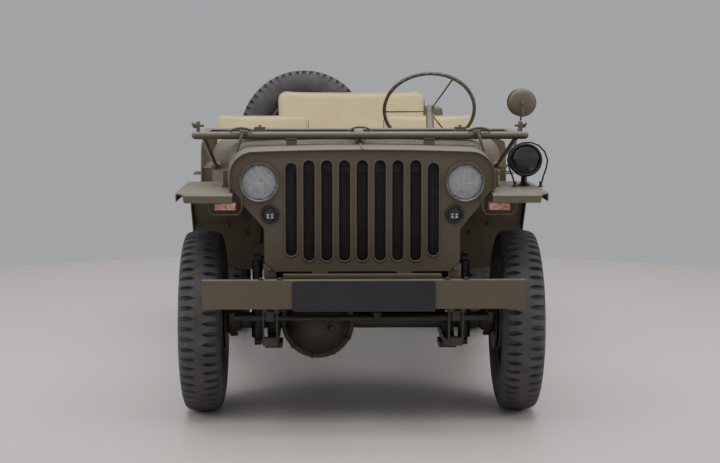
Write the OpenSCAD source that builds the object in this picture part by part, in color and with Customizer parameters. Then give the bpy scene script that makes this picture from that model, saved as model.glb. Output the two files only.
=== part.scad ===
// Light open-topped military four-by-four, left-hand drive, with its windscreen folded on the hood.
// +X is the vehicle's left, +Y its rear, +Z up. Millimetres. The origin is on the ground, midway along its length.
// Places along the vehicle are counted rearward from the front axle, and called v.

/* [Wheels and stance] */
// Distance between the axles
wheelbase = 2032; // [1900:1:2500]
// Distance between the middles of the two tyres of an axle
track = 1245; // [1235:1:1500]
// Outer diameter of a tyre
tyre_d = 718; // [600:1:870]
// Width of a tyre at its bulge
tyre_w = 165; // [135:1:175]
// Diameter of the rim seat
rim_d = 406; // [340:1:490]
// Height of the frame rails' underside over the axle line
rail_rise = 111; // [100:1:160]

/* [Frame and bumper] */
// Front face of the bumper to the front axle
front_overhang = 598; // [500:1:720]
// Width over the two frame rails
frame_w = 742; // [700:1:760]
// Width of a frame rail
rail_w = 64; // [54:1:76]
// Depth of a frame rail
rail_h = 100; // [84:1:120]
// Length of the front bumper bar
bumper_w = 1175; // [980:1:1450]
// Height of the front bumper bar
bumper_h = 104; // [86:1:126]
// Thickness of the bumper bar, front to back
bumper_d = 45; // [36:1:56]

/* [Body] */
// Width over the body sides
body_w = 1500; // [1440:1:1800]
// Rear axle to the outside of the rear panel
body_tail = 528; // [470:1:640]
// Height of the body sides over the floor
side_h = 395; // [330:1:474]
// Thickness of the body's sheet walls, with their folded edges
sheet = 5; // [4:0.5:8]
// Front axle to the firewall
firewall_v = 580; // [560:1:640]
// Depth of the scuttle, firewall to dashboard
scuttle_d = 290; // [270:1:348]

/* [Hood, grille and wings] */
// Width of the hood at its nose
hood_nose_w = 1000; // [960:1:1060]
// Width of the hood at the scuttle
hood_rear_w = 1112; // [1080:1:1150]
// Height of the hood's nose over the frame
hood_rise = 488; // [440:1:560]
// Height of the wing tops over the frame
wing_rise = 325; // [300:1:350]
// Width over the front wings
wings_w = 1404; // [1300:1:1560]
// Width of one grille slot
slot_w = 48; // [40:1:57]
// Distance between the middles of neighbouring slots
slot_pitch = 67; // [62:1:68]
// Number of grille slots
slot_count = 9; // [5:2:9]

/* [Windscreen] */
// Diameter of the windscreen frame's tube
screen_tube = 30; // [24:1:36]
// Distance between the middles of the windscreen frame's two legs
leg_span = 1244; // [1236:1:1300]
// Length of the windscreen's top rail
screen_w = 1338; // [1320:1:1400]
// Pivot to the middle of the top rail, along the vehicle
screen_h = 710; // [600:1:760]

/* [Seats and controls] */
// Width of a front seat
seat_w = 450; // [375:1:500]
// Width of the rear seat
rear_seat_w = 790; // [660:1:880]
// Sideways place of the driver's seat
driver_x = 371; // [320:1:400]
// Sideways place of the passenger's seat
passenger_x = -446; // [-470:1:-380]
// Diameter of the steering wheel
steering_d = 444; // [370:1:500]

/* [Hidden] */
$fn = 48;
gap = 0.3;                  // clearance between round or moving pieces that seat on each other

// Heights
axle_z = tyre_d / 2;
rail_z = axle_z + rail_rise;
frame_top = rail_z + rail_h;
mount_t = 18;               // body mounts on the frame
floor_t = 12;
floor_z = frame_top + mount_t + floor_t;
side_top = floor_z + side_h;
skirt_z = floor_z - 75;     // lower edge of the body sides
wing_z = frame_top + wing_rise;
hood_z = frame_top + hood_rise;
scuttle_z = hood_z + 4;
seam_z = wing_z + 10;       // where hood and scuttle meet what is under them

// Places along the vehicle, counted from the front axle
plate_t = 3;
spare_offset = 205;         // rear panel to the outside of the spare tyre
tail_v = wheelbase + body_tail;
front_y = -(front_overhang + plate_t + tail_v + spare_offset) / 2 + front_overhang + plate_t;
grille_v = -330;            // front of the grille
nose_v = grille_v - 12;     // front edge of the hood
tip_v = -400;               // front edge of the wings
dash_v = firewall_v + scuttle_d;
door_v = dash_v + 20;       // the side opening, front and rear
quarter_v = wheelbase - 532;

// Places across the vehicle
rail_x = (frame_w - rail_w) / 2;
half_body = body_w / 2;
half_wings = wings_w / 2;
wheel_x = track / 2;
kingpin_x = wheel_x - 117.5;
house_x = wheel_x - tyre_w / 2 - 80;   // inner wall of a rear wheel housing
dash_half = hood_rear_w / 2 + 90;      // half width of the body at the dashboard
apron_x = frame_w / 2 - sheet;         // inner apron of a wing
lamp_x = 387.5;
lamp_r = 76;
lamp_z = hood_z - 124;
marker_x = 348;
marker_r = 35;
marker_z = hood_z - 245;

// Running gear
rim_r = rim_d / 2;
rim_half = 57;              // half width between the rim's flanges
rim_t = 6;
disc_z = 18;                // wheel disc, outboard of the tyre's middle
drum_r = 120;
hub_r = 44;
tube_r = 32;                // axle tube
housing_r = 139;            // differential housing
diff_x = -170;
ball_r = 46;                // ball end of the front axle, inside its knuckle
spindle_r = 20;
arm_l = 190;                // kingpin to the ball joint of its steering arm
link_z = axle_z + 36;       // height of the track rods
link_r = 11;
crank_x = 60;               // bell crank pivot
spring_x = 345;
leaf_w = 44;
leaf_t = 7;
front_spring = 920;         // between the eyes
rear_spring = 1060;
spring_camber = 37;
eye_r = 18;
eye_pin = 7;
shock_x = 406;
shock_r = 24;
shock_v = -100;

// Cab
seat_tube = 24;
wheel_v = 1260;             // middle of the steering wheel
steer_z = floor_z + 560;
steer_x = 352;
column_a = 36;              // slope of the steering column
column_yaw = 1.1;           // the column's foot leans inwards
column_r = 19;
pivot_v = firewall_v + 150; // windscreen pivot
pivot_z = scuttle_z - 132;
rest_h = 21;                // height of the blocks under the folded windscreen
screen_z = hood_z + rest_h + gap + screen_tube / 2;
leg_x = leg_span / 2;
leg_d = 20;
seat_z = floor_z + 150;     // underside of the front seat cushions
tip_v0 = 1140;              // hinge of the passenger's seat
tip_z0 = floor_z + 30;

// Tail
spare_x = -257;
spare_z = floor_z + 380;

olive = [0.33, 0.32, 0.23];
dark_olive = [0.2, 0.19, 0.14];
tan_cloth = [0.8, 0.73, 0.5];
black = [0.08, 0.08, 0.09];

// ---------- helpers ----------

// A point given by its distance behind the front axle
function at(x, v, z) = [x, front_y + v, z];

// A round bar from one point to another
module bar(p, q, d) {
    run = q - p;
    length = norm(run);
    translate(p)
        rotate([0, acos(run.z / length), atan2(run.y, run.x)])
            cylinder(h = length, d = d);
}

// Bars from point to point, with an elbow at each bend
module tube_run(points, d) {
    for (i = [0 : len(points) - 2]) bar(points[i], points[i + 1], d);
    for (i = [1 : 1 : len(points) - 2]) translate(points[i]) rotate([35, 25, 15]) sphere(d = 1.16 * d);
}

// The same piece on the left and, mirrored, on the right
module both_sides() {
    children();
    mirror([1, 0, 0]) children();
}

// A box between two corners, its v's counted from the front axle
module block(low, high) {
    translate(at(low.x, low.y, low.z)) cube(high - low);
}

// A square with round corners
module round_square(w, h, r) {
    square([w - 2 * r, h], center = true);
    square([w, h - 2 * r], center = true);
    for (x = [-1, 1], y = [-1, 1])
        translate([x * (w / 2 - r), y * (h / 2 - r)]) circle(r = r);
}

// A flat outline drawn in (x, z) and thickened rearward from v
module upright(v, t) {
    translate([0, front_y + v + t, 0]) rotate([90, 0, 0]) linear_extrude(t) children();
}

// A flat outline drawn in (v, z) and thickened towards +X from x
module sideways(x, t) {
    translate([x, front_y, 0]) rotate([90, 0, 90]) linear_extrude(t) children();
}

// An axis along +X, at x, through a wheel's middle or the like
module across(x, v, z) {
    translate(at(x, v, z)) rotate([0, 90, 0]) children();
}

function unit(a) = a / norm(a);
function turned(a) = [-a.y, a.x];

// The outline of a strip of thickness t laid along a path, on its left
function strip(path, t) = concat(path, [for (i = [len(path) - 1 : -1 : 0])
    let (before = i > 0 ? unit(path[i] - path[i - 1]) : unit(path[1] - path[0]),
         after = i < len(path) - 1 ? unit(path[i + 1] - path[i]) : before,
         mean = unit(before + after))
    path[i] + turned(mean) * t / (mean * before)]);

function arc(centre, r, from, to, steps = 8) =
    [for (i = [0 : steps]) let (a = from + (to - from) * i / steps) centre + r * [cos(a), sin(a)]];

// Half-round arch, from its left foot over the crown to its right foot
function arch(half, foot, top, shoulder, crown) = let (flat = half - shoulder, rise = top - crown)
    concat([[-half, foot]], arc([-flat, rise - shoulder], shoulder, 180, 90, 7),
        [for (i = [1 : 7]) let (x = -flat + 2 * flat * i / 8) [x, rise + crown * (1 - pow(x / flat, 2))]],
        arc([flat, rise - shoulder], shoulder, 90, 0, 7), [[half, foot]]);

// A sheet through several arches, each at its own v, made as one closed skin
module arched_sheet(outer, inner, vs) {
    n = len(outer[0]);
    m = len(vs);
    function corner(k, i, inside) = (k * n + i) * 2 + inside;
    points = [for (k = [0 : m - 1], i = [0 : n - 1], s = [inner[k][i], outer[k][i]])
        at(s.x, vs[k], s.y)];
    skins = [for (k = [0 : m - 2], i = [0 : n - 2]) each [
        [corner(k, i, 0), corner(k, i + 1, 0), corner(k + 1, i + 1, 0)],
        [corner(k, i, 0), corner(k + 1, i + 1, 0), corner(k + 1, i, 0)],
        [corner(k, i, 1), corner(k + 1, i + 1, 1), corner(k, i + 1, 1)],
        [corner(k, i, 1), corner(k + 1, i, 1), corner(k + 1, i + 1, 1)]]];
    ends = [for (i = [0 : n - 2]) each [
        [corner(0, i, 0), corner(0, i + 1, 1), corner(0, i + 1, 0)],
        [corner(0, i, 0), corner(0, i, 1), corner(0, i + 1, 1)],
        [corner(m - 1, i, 0), corner(m - 1, i + 1, 0), corner(m - 1, i + 1, 1)],
        [corner(m - 1, i, 0), corner(m - 1, i + 1, 1), corner(m - 1, i, 1)]]];
    feet = [for (k = [0 : m - 2]) each [
        [corner(k, 0, 0), corner(k + 1, 0, 0), corner(k + 1, 0, 1)],
        [corner(k, 0, 0), corner(k + 1, 0, 1), corner(k, 0, 1)],
        [corner(k, n - 1, 0), corner(k + 1, n - 1, 1), corner(k + 1, n - 1, 0)],
        [corner(k, n - 1, 0), corner(k, n - 1, 1), corner(k + 1, n - 1, 1)]]];
    polyhedron(points, concat(skins, ends, feet));
}

// ---------- chassis ----------

// Channel section of a frame rail, open towards the middle of the vehicle
module rail() {
    wall = 6;
    difference() {
        block([rail_x - rail_w / 2, -front_overhang + bumper_d, rail_z],
            [rail_x + rail_w / 2, tail_v - 12, frame_top]);
        block([rail_x - rail_w / 2 - 1, -front_overhang, rail_z + wall],
            [rail_x + rail_w / 2 - wall, tail_v - 20, frame_top - wall]);
    }
}

module cross_member(v, w, h) {
    block([-rail_x, v - w / 2, frame_top - h], [rail_x, v + w / 2, frame_top]);
}

// Ears on the rail that carry a spring eye, with its pin
module spring_hanger(v, eye_z) {
    ear = 7;
    for (side = [-1, 1])
        translate([side * (leaf_w / 2 + ear / 2 + gap), 0, 0])
            block([spring_x - ear / 2, v - 24, eye_z - 24], [spring_x + ear / 2, v + 24, rail_z]);
    across(spring_x - leaf_w / 2 - ear, v, eye_z) cylinder(h = leaf_w + 2 * ear, r = eye_pin);
}

eye_z = axle_z - tube_r - 14 + spring_camber;

module chassis_frame() {
    color(dark_olive) {
        both_sides() {
            rail();
            spring_hanger(front_spring / 2, eye_z);
            spring_hanger(wheelbase - rear_spring / 2, eye_z);
            // Upper mounts of the shackles
            for (v = [-front_spring / 2, wheelbase + rear_spring / 2])
                block([spring_x - 14, v - 18, rail_z - 42], [spring_x + 14, v + 18, rail_z]);
            // Mounts of the shock absorbers
            for (shock = shocks)
                block([frame_w / 2, shock[0] - 26, rail_z], [frame_w / 2 + 5, shock[0] + 26, shock[1] + 18]);
            // Body mounts
            for (v = [660, 1100, 1500, 2000, tail_v - 80])
                translate(at(rail_x, v, frame_top)) cylinder(h = mount_t, r = 26);
            // Gussets at the bumper
            block([rail_x - 14, -front_overhang + bumper_d, frame_top],
                [rail_x + 14, -front_overhang + bumper_d + 90, frame_top + 10]);
        }
        cross_member(-420, 60, 60);
        cross_member(-270, 120, rail_h);
        for (v = [560, 1110])
            block([-rail_x, v - 25, rail_z], [rail_x, v + 25, rail_z + 34]);
        cross_member(1490, 60, 60);
        cross_member(2200, 60, 60);
        cross_member(tail_v - 36, 48, rail_h);
    }
}

// Shock absorbers, as [place, height of the upper eye]
shocks = [[shock_v, frame_top + 50], [wheelbase - 110, frame_top - 10]];

module front_bumper() {
    wall = 7;
    mid = rail_z + rail_h / 2 + 24;
    color(olive) difference() {
        block([-bumper_w / 2, -front_overhang, mid - bumper_h / 2],
            [bumper_w / 2, -front_overhang + bumper_d, mid + bumper_h / 2]);
        for (side = [[-bumper_w / 2 + wall, -rail_x - rail_w / 2],
                     [-rail_x + rail_w / 2, rail_x - rail_w / 2],
                     [rail_x + rail_w / 2, bumper_w / 2 - wall]])
            block([side[0], -front_overhang + wall, mid - bumper_h / 2 + wall],
                [side[1], -front_overhang + bumper_d + 1, mid + bumper_h / 2 - wall]);
    }
}

module number_plate() {
    mid = rail_z + rail_h / 2 + 18;
    color(black) upright(-front_overhang - plate_t, plate_t)
        translate([0, mid]) round_square(520, 110, 10);
}

module rear_bumperettes() {
    color(olive) both_sides() {
        block([rail_x - 22, tail_v - 12, rail_z + 20], [rail_x + 22, tail_v + 34, rail_z + 70]);
        block([rail_x - 110, tail_v + 34, rail_z], [rail_x + 120, tail_v + 46, rail_z + 90]);
    }
}

hook_r = 22;
hook_v = tail_v + 80;

module tow_hitch() {
    color(dark_olive) {
        block([-60, tail_v - 12, rail_z + 4], [60, tail_v + 6, frame_top - 4]);
        difference() {
            union() {
                translate(at(0, tail_v, rail_z + rail_h / 2)) rotate([-90, 0, 0]) cylinder(h = 50, r = 20);
                across(-18, hook_v, rail_z + rail_h / 2) cylinder(h = 36, r = hook_r + 16);
            }
            across(-30, hook_v, rail_z + rail_h / 2) cylinder(h = 60, r = hook_r);
        }
    }
}

// A leaf spring: eyed main leaf and shorter leaves under it
module leaf_spring(mid_v, length) {
    half = length / 2;
    function leaf(reach, drop) = [for (i = [-6 : 6]) let (v = reach * i / 6)
        [mid_v + v, eye_z - spring_camber * (1 - pow(v / half, 2)) - drop]];
    difference() {
        union() {
            sideways(spring_x - leaf_w / 2, leaf_w) {
                for (n = [0 : 5])
                    polygon(strip(leaf(half * (1 - 0.15 * n), (n + 1) * leaf_t), leaf_t + 0.1));
                for (end = [-1, 1]) translate([mid_v + end * half, eye_z]) circle(r = eye_r);
            }
            // Seat and U-bolts around the axle tube
            block([spring_x - leaf_w / 2 - 12, mid_v - 60, eye_z - spring_camber - 7 * leaf_t - 8],
                [spring_x + leaf_w / 2 + 12, mid_v + 60, eye_z - spring_camber - 5 * leaf_t]);
            block([spring_x - leaf_w / 2 - 4, mid_v - 50, eye_z - spring_camber - 4],
                [spring_x + leaf_w / 2 + 4, mid_v + 50, axle_z - tube_r - 1]);
        }
        for (end = [-1, 1])
            across(spring_x - leaf_w, mid_v + end * half, eye_z) cylinder(h = 2 * leaf_w, r = eye_pin + gap);
    }
}

// Shackle between a spring's moving eye and the frame, with its lower pin
module shackle(v) {
    plate = 6;
    top = rail_z - 20;
    for (side = [-1, 1])
        translate([side * (leaf_w / 2 + gap + plate / 2), 0, 0])
            block([spring_x - plate / 2, v - 13, eye_z - 13], [spring_x + plate / 2, v + 13, top + 13]);
    across(spring_x - leaf_w / 2 - plate, v, eye_z) cylinder(h = leaf_w + 2 * plate, r = eye_pin);
    for (side = [-1, 1])
        translate([side * (leaf_w / 2 + 14) / 2, 0, 0])
            across(spring_x - (leaf_w / 2 - 14) / 2, v, top) cylinder(h = leaf_w / 2 - 14, r = eye_pin);
}

module leaf_springs() {
    color(dark_olive) both_sides() {
        leaf_spring(0, front_spring);
        leaf_spring(wheelbase, rear_spring);
        shackle(-front_spring / 2);
        shackle(wheelbase + rear_spring / 2);
    }
}

module shock_absorber(v, top) {
    low = axle_z - 66;
    body_h = (top - low) * 0.45;
    translate(at(shock_x, v, low + 14)) cylinder(h = body_h, r = shock_r);
    translate(at(shock_x, v, low + 13 + body_h)) cylinder(h = top - low - 24 - body_h, r = shock_r - 3);
    for (z = [low, top]) across(shock_x - 13, v, z) cylinder(h = 26, r = 17);
    across(frame_w / 2 + 5, v, top) cylinder(h = shock_x - frame_w / 2 - 5, r = 9);
    // Lower bracket, out from the spring seat
    block([spring_x + leaf_w / 2 + 12, v - 12, low - 10], [shock_x - 10, v + 12, low + 10]);
    block([spring_x + leaf_w / 2 + 12, min(v, v + 70), low - 10],
        [spring_x + leaf_w / 2 + 20, max(v, v + 70), low + 4]);
}

module shock_absorbers() {
    color(black) both_sides() for (shock = shocks) shock_absorber(shock[0], shock[1]);
}

// Differential: a round housing with its nose; nose is 1 to the rear, -1 to the front
module differential(v, nose) {
    translate(at(diff_x, v, axle_z)) {
        rotate([20, 15, 45]) sphere(r = housing_r);
        rotate([nose * -90, 0, 0]) cylinder(h = housing_r + 31, r = 50);
    }
}

module front_axle() {
    color(dark_olive) {
        // Tube with its two ball ends
        across(-kingpin_x + ball_r - 12, 0, axle_z) cylinder(h = 2 * (kingpin_x - ball_r + 12), r = tube_r);
        both_sides() translate(at(kingpin_x, 0, axle_z)) sphere(r = ball_r);
        both_sides() block([spring_x - leaf_w / 2, -36, axle_z - tube_r - 1], [spring_x + leaf_w / 2, 36, axle_z - 8]);
        differential(0, 1);
        // Post of the bell crank
        translate(at(crank_x, 0, axle_z)) rotate_extrude()
            polygon([[0, 0], [24, 0], [24, crank_z - gap - axle_z], [8, crank_z - gap - axle_z],
                [8, crank_z + 26 - axle_z], [0, crank_z + 26 - axle_z]]);
    }
}

module rear_axle() {
    plate = wheel_x - 92;
    color(dark_olive) {
        // Tube, brake backing plates and stub shafts
        across(-plate, wheelbase, axle_z) cylinder(h = 2 * plate, r = tube_r);
        both_sides() {
            across(plate - 1, wheelbase, axle_z) cylinder(h = 7, r = drum_r - 3);
            across(plate, wheelbase, axle_z) cylinder(h = 92 + 50, r = spindle_r);
        }
        differential(wheelbase, -1);
        both_sides()
            block([spring_x - leaf_w / 2, wheelbase - 36, axle_z - tube_r - 1],
                [spring_x + leaf_w / 2, wheelbase + 36, axle_z - 8]);
    }
}

module propeller_shafts() {
    joint_r = 30;
    nose = housing_r + 31 + joint_r + gap;
    color(dark_olive) for (run = [
        [at(diff_x, nose, axle_z), at(case_x, case_v - 96 - joint_r - gap, case_z)],
        [at(case_x, case_v + 96 + joint_r + gap, case_z), at(diff_x, wheelbase - nose, axle_z)]]) {
        bar(run[0], run[1], 50);
        for (end = run) translate(end) sphere(r = joint_r);
    }
}

case_x = -150;
case_v = 975;
case_z = axle_z + 78;

module engine() {
    color(dark_olive) {
        block([-150, -80, frame_top - 20], [150, 470, hood_z - 120]);
        block([-90, 465, rail_z + 40], [90, 900, frame_top + 6]);
        block([-110, 130, rail_z - 30], [110, 460, frame_top - 15]);
        // Transfer case with its two flanges
        block([case_x - 90, case_v - 90, case_z - 66], [84, case_v + 90, frame_top - 36]);
        translate(at(case_x, case_v - 96, case_z)) rotate([-90, 0, 0]) cylinder(h = 192, r = 40);
    }
}

module radiator() {
    color(black) block([-300, -300, frame_top], [300, -245, hood_z - 40]);
}

module exhaust() {
    low = rail_z - 70;
    color(dark_olive) {
        // Down-pipe, silencer and side pipe
        bar(at(-168, 400, rail_z + 150), at(-240, 520, rail_z - 30), 38);
        bar(at(-236, 512, rail_z - 32), at(-284, 1100, low - 4), 36);
        translate(at(-284, 1080, low)) rotate([-90, 0, 0]) cylinder(h = 290, r = 56);
        bar(at(-292, 1350, low - 3), at(-620, 1455, low + 6), 38);
        block([-322, 1200, low + 20], [-312, 1230, rail_z]);
    }
}

module fuel_tank() {
    color(olive) block([frame_w / 2 + 14, 1120, rail_z + 10], [frame_w / 2 + 294, 1540, floor_z - floor_t]);
}

// ---------- wheels ----------

// Right half of a tyre's section, as [radius, offset], from bead to tread
function tyre_side(w, r) = let (mid = (rim_r + r) / 2 + 2, rise = r - mid)
    [for (a = [-60 : 15 : 90])
        [mid + rise * sign(a) * pow(abs(sin(a)), 0.75), w / 2 * pow(cos(a), 0.62)]];

module tyre() {
    half = tyre_side(tyre_w, tyre_d / 2);
    bead = [[rim_r + gap, rim_half - gap], [rim_r + 12, rim_half - gap]];
    side = concat(bead, half);
    color(black) rotate_extrude() polygon(concat(side, [for (i = [len(side) - 2 : -1 : 0]) [side[i].x, -side[i].y]]));
}

// A pressed wheel with its hub and brake drum; outboard is +Z
module wheel(bored = true) {
    color(olive) rotate_extrude() difference() {
        union() {
            translate([rim_r - rim_t, -rim_half]) square([rim_t, 2 * rim_half]);
            for (z = [-rim_half - 4, rim_half]) translate([rim_r - rim_t, z]) square([rim_t + 14, 4]);
            translate([0, disc_z]) square([rim_r - 2, 7]);
            if (bored) {
                translate([0, -50]) square([hub_r, 114]);
                translate([drum_r - 8, -80]) square([8, 80 + disc_z]);
            }
        }
        if (bored) translate([-1, -60]) square([spindle_r + gap + 1, 115]);
        else translate([-1, -60]) square([51, 115]);
    }
}

module put_wheel(side, v) {
    across(side * wheel_x, v, axle_z) mirror([0, 0, side < 0 ? 1 : 0]) children();
}

module front_left_tyre() put_wheel(1, 0) tyre();
module front_right_tyre() put_wheel(-1, 0) tyre();
module rear_left_tyre() put_wheel(1, wheelbase) tyre();
module rear_right_tyre() put_wheel(-1, wheelbase) tyre();
module front_left_wheel() put_wheel(1, 0) wheel();
module front_right_wheel() put_wheel(-1, 0) wheel();
module rear_left_wheel() put_wheel(1, wheelbase) wheel();
module rear_right_wheel() put_wheel(-1, wheelbase) wheel();

module put_spare() {
    translate(at(spare_x, tail_v + spare_offset - tyre_w / 2, spare_z)) rotate([-90, 0, 0]) children();
}

module spare_tyre() put_spare() tyre();
module spare_wheel() put_spare() wheel(bored = false);

// Knuckle of the left front wheel: cup around the axle's ball, backing plate, spindle and arm
module knuckle() {
    cup_r = ball_r + 10;
    out = wheel_x - kingpin_x;
    arm_z = crank_z;
    color(dark_olive) {
        across(kingpin_x, 0, axle_z) rotate_extrude() difference() {
            union() {
                intersection() {
                    circle(r = cup_r);
                    translate([0, -8]) square([cup_r, cup_r + 8]);
                }
                translate([0, 20]) square([40, out - 112]);
                translate([0, out - 92]) square([drum_r - 3, 6]);
                translate([0, 50]) square([spindle_r, out]);
            }
            circle(r = ball_r + gap);
        }
        for (z = [axle_z - cup_r - 6, axle_z + cup_r - 6])
            translate(at(kingpin_x, 0, z)) cylinder(h = 12, r = 15);
        // Arm to the track rod, with its ball stud
        block([kingpin_x, -66, axle_z - 8], [kingpin_x + 18, -50, arm_z + 10]);
        block([kingpin_x - 12, -arm_l, arm_z], [kingpin_x + 18, -50, arm_z + 10]);
        translate(at(kingpin_x, -arm_l, arm_z)) cylinder(h = 10, r = 16);
        translate(at(kingpin_x, -arm_l, link_z - link_r)) cylinder(h = 2 * link_r + 6, r = 6);
    }
}

module knuckle_left() knuckle();
module knuckle_right() mirror([1, 0, 0]) knuckle();

crank_z = link_z + link_r + 2;

module bell_crank() {
    color(dark_olive) {
        difference() {
            union() {
                translate(at(crank_x, 0, crank_z)) cylinder(h = 22, r = 22);
                block([crank_x - 14, -arm_l, crank_z], [crank_x + 14, 0, crank_z + 10]);
                translate(at(crank_x, -arm_l, crank_z)) cylinder(h = 10, r = 18);
            }
            translate(at(crank_x, 0, crank_z - 1)) cylinder(h = 30, r = 8 + gap);
        }
        translate(at(crank_x, -arm_l, link_z - link_r)) cylinder(h = 2 * link_r + 6, r = 6);
    }
}

// The two track rods meet in one eye on the bell crank's pin
module track_rods() {
    eyes = [-kingpin_x, crank_x, kingpin_x];
    color(dark_olive) difference() {
        union() {
            across(-kingpin_x, -arm_l, link_z) cylinder(h = 2 * kingpin_x, r = link_r);
            for (x = eyes) translate(at(x, -arm_l, link_z - link_r - 1.5)) cylinder(h = 2 * link_r + 3, r = 15);
        }
        for (x = eyes) translate(at(x, -arm_l, link_z - 20)) cylinder(h = 40, r = 6 + gap);
    }
}

// ---------- body ----------

// Plan of the left body side: [v, x] along its outer face, from the scuttle to the rear panel
side_plan = [[firewall_v, hood_rear_w / 2], [dash_v, dash_half], [quarter_v, half_body], [tail_v - sheet, half_body]];
// Half width inside the body side at a place along the vehicle
function inside_x(v) = lookup(v, side_plan) - sheet * 1.1;

// The left body side seen from the side, as [v, z]
module side_profile() {
    sill = floor_z;
    r = 60;
    wheel_gap = 61;
    difference() {
        polygon(concat(
            [[firewall_v, skirt_z], [tail_v - sheet, skirt_z], [tail_v - sheet, side_top]],
            arc([quarter_v + 100, side_top - 40], 40, 90, 170, 5),
            arc([quarter_v - r, sill + r], r, -10, -90, 6),
            arc([door_v + r, sill + r], r, -90, -170, 6),
            [[dash_v, seam_z], [firewall_v, seam_z]]));
        translate([wheelbase, axle_z]) circle(r = tyre_d / 2 + wheel_gap);
    }
}

module body_side() {
    color(olive) intersection() {
        sideways(0, half_body + 10) side_profile();
        translate([0, front_y, 0]) linear_extrude(side_top + 10)
            mirror([1, -1, 0]) polygon(strip(side_plan, -sheet));
    }
}

module body_side_left() body_side();
module body_side_right() mirror([1, 0, 0]) body_side();

module body_floor() {
    front_v = firewall_v + 210;
    toe_top = floor_z + 190;
    box_v = quarter_v + 80;     // front of the wheel housings
    toe_half = inside_x(firewall_v + 9);
    color(olive) {
        difference() {
            union() {
                translate([0, front_y, floor_z - floor_t]) linear_extrude(floor_t)
                    both_plan() polygon([[front_v - 8, 0], [front_v - 8, inside_x(front_v - 8)],
                        [dash_v, inside_x(dash_v)], [quarter_v, inside_x(quarter_v)],
                        [box_v, half_body - sheet * 1.1], [box_v, house_x],
                        [tail_v - sheet, house_x], [tail_v - sheet, 0]]);
                // Toe board
                sideways(-toe_half, 2 * toe_half)
                    polygon(strip([[firewall_v + 9, toe_top], [firewall_v + 22, toe_top],
                        [front_v, floor_z - 4]], -sheet));
            }
            column() cylinder(h = 2000, r = column_r + 5, center = true);
        }
        // Hinges of the passenger's seat
        for (side = [-1, 1]) translate([passenger_x + side * (seat_w - seat_tube) / 2, 0, 0]) {
            for (ear = [-1, 1])
                translate([ear * (seat_tube / 2 + 4.5), 0, 0])
                    block([-3, tip_v0 - 14, floor_z - 1], [3, tip_v0 + 14, tip_z0 + 14]);
            across(-seat_tube / 2 - 5, tip_v0, tip_z0) cylinder(h = seat_tube + 10, r = 5);
        }
    }
}

// Children drawn as [v, x] on the left, and again on the right
module both_plan() {
    mirror([1, -1, 0]) children();
    mirror([1, 0, 0]) mirror([1, -1, 0]) children();
}

module wheel_boxes() {
    box_v = quarter_v + 80;
    top = tyre_d + 150;
    color(olive) both_sides() {
        block([house_x, box_v, floor_z], [house_x + sheet, tail_v - sheet, top]);
        block([house_x, box_v, top - sheet], [half_body - sheet, tail_v - sheet, top]);
        block([house_x, box_v, floor_z], [half_body - sheet, box_v + sheet, top]);
    }
}

module rear_panel() {
    color(olive) {
        block([-half_body, tail_v - sheet, floor_z - floor_t], [half_body, tail_v, side_top]);
        // Carrier of the spare wheel
        translate(at(spare_x, tail_v, spare_z)) rotate([-90, 0, 0])
            cylinder(h = spare_offset - tyre_w / 2 + disc_z, r = 70);
        // Tray of the can
        block([can_x - can_w / 2 - 6, tail_v, can_z - 14], [can_x + can_w / 2 + 6, tail_v + can_d + 26, can_z]);
    }
}

can_x = 342;
can_w = 344;
can_d = 165;
can_h = 420;
can_z = floor_z + 120;

module jerry_can() {
    color(olive) {
        translate(at(can_x, tail_v + 14 + can_d / 2, can_z)) linear_extrude(can_h)
            round_square(can_w, can_d, 34);
        translate(at(can_x, tail_v + 14 + can_d / 2, can_z + can_h)) {
            for (x = [-60, 60], y = [-46, 0, 46]) translate([x - 8, y - 8, 0]) cube([16, 16, 34]);
            for (y = [-46, 0, 46]) translate([-68, y - 8, 30]) cube([136, 16, 16]);
            translate([-124, 0, 0]) cylinder(h = 40, r = 34);
        }
    }
}

hood_shoulder = 92;
hood_crown = 8;
hood_sheet = 3;

function hood_arch(half, foot, top, inset) =
    arch(half - inset, foot, top - inset, hood_shoulder - inset, hood_crown);

module hood() {
    stations = [[nose_v, hood_nose_w / 2, hood_z], [firewall_v - gap, hood_rear_w / 2, scuttle_z]];
    color(olive) arched_sheet(
        [for (s = stations) hood_arch(s[1], seam_z, s[2], 0)],
        [for (s = stations) hood_arch(s[1], seam_z, s[2], hood_sheet)],
        [for (s = stations) s[0]]);
}

rest_x = 273;

// Height of the hood's top at a place along and across it
function hood_top(x, v) = let (k = (v - nose_v) / (firewall_v - nose_v),
        half = hood_nose_w / 2 * (1 - k) + hood_rear_w / 2 * k)
    hood_z + k * (scuttle_z - hood_z) - hood_crown * pow(x / (half - hood_shoulder), 2);

module hood_fittings() {
    color(dark_olive) both_sides() {
        // Blocks under the folded windscreen
        block([rest_x - 21, -4, hood_top(rest_x - 21, 44) + 0.1], [rest_x + 21, 44, hood_z + rest_h]);
        // Spring catches at the hood's edge, standing on the wings
        block([hood_catch_x, -60, wing_z], [hood_catch_x + 16, -40, wing_z + 66]);
        block([hood_catch_x - 2, -64, wing_z], [hood_catch_x + 20, -36, wing_z + 8]);
    }
}

hood_catch_x = hood_nose_w / 2 + 24;

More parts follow.
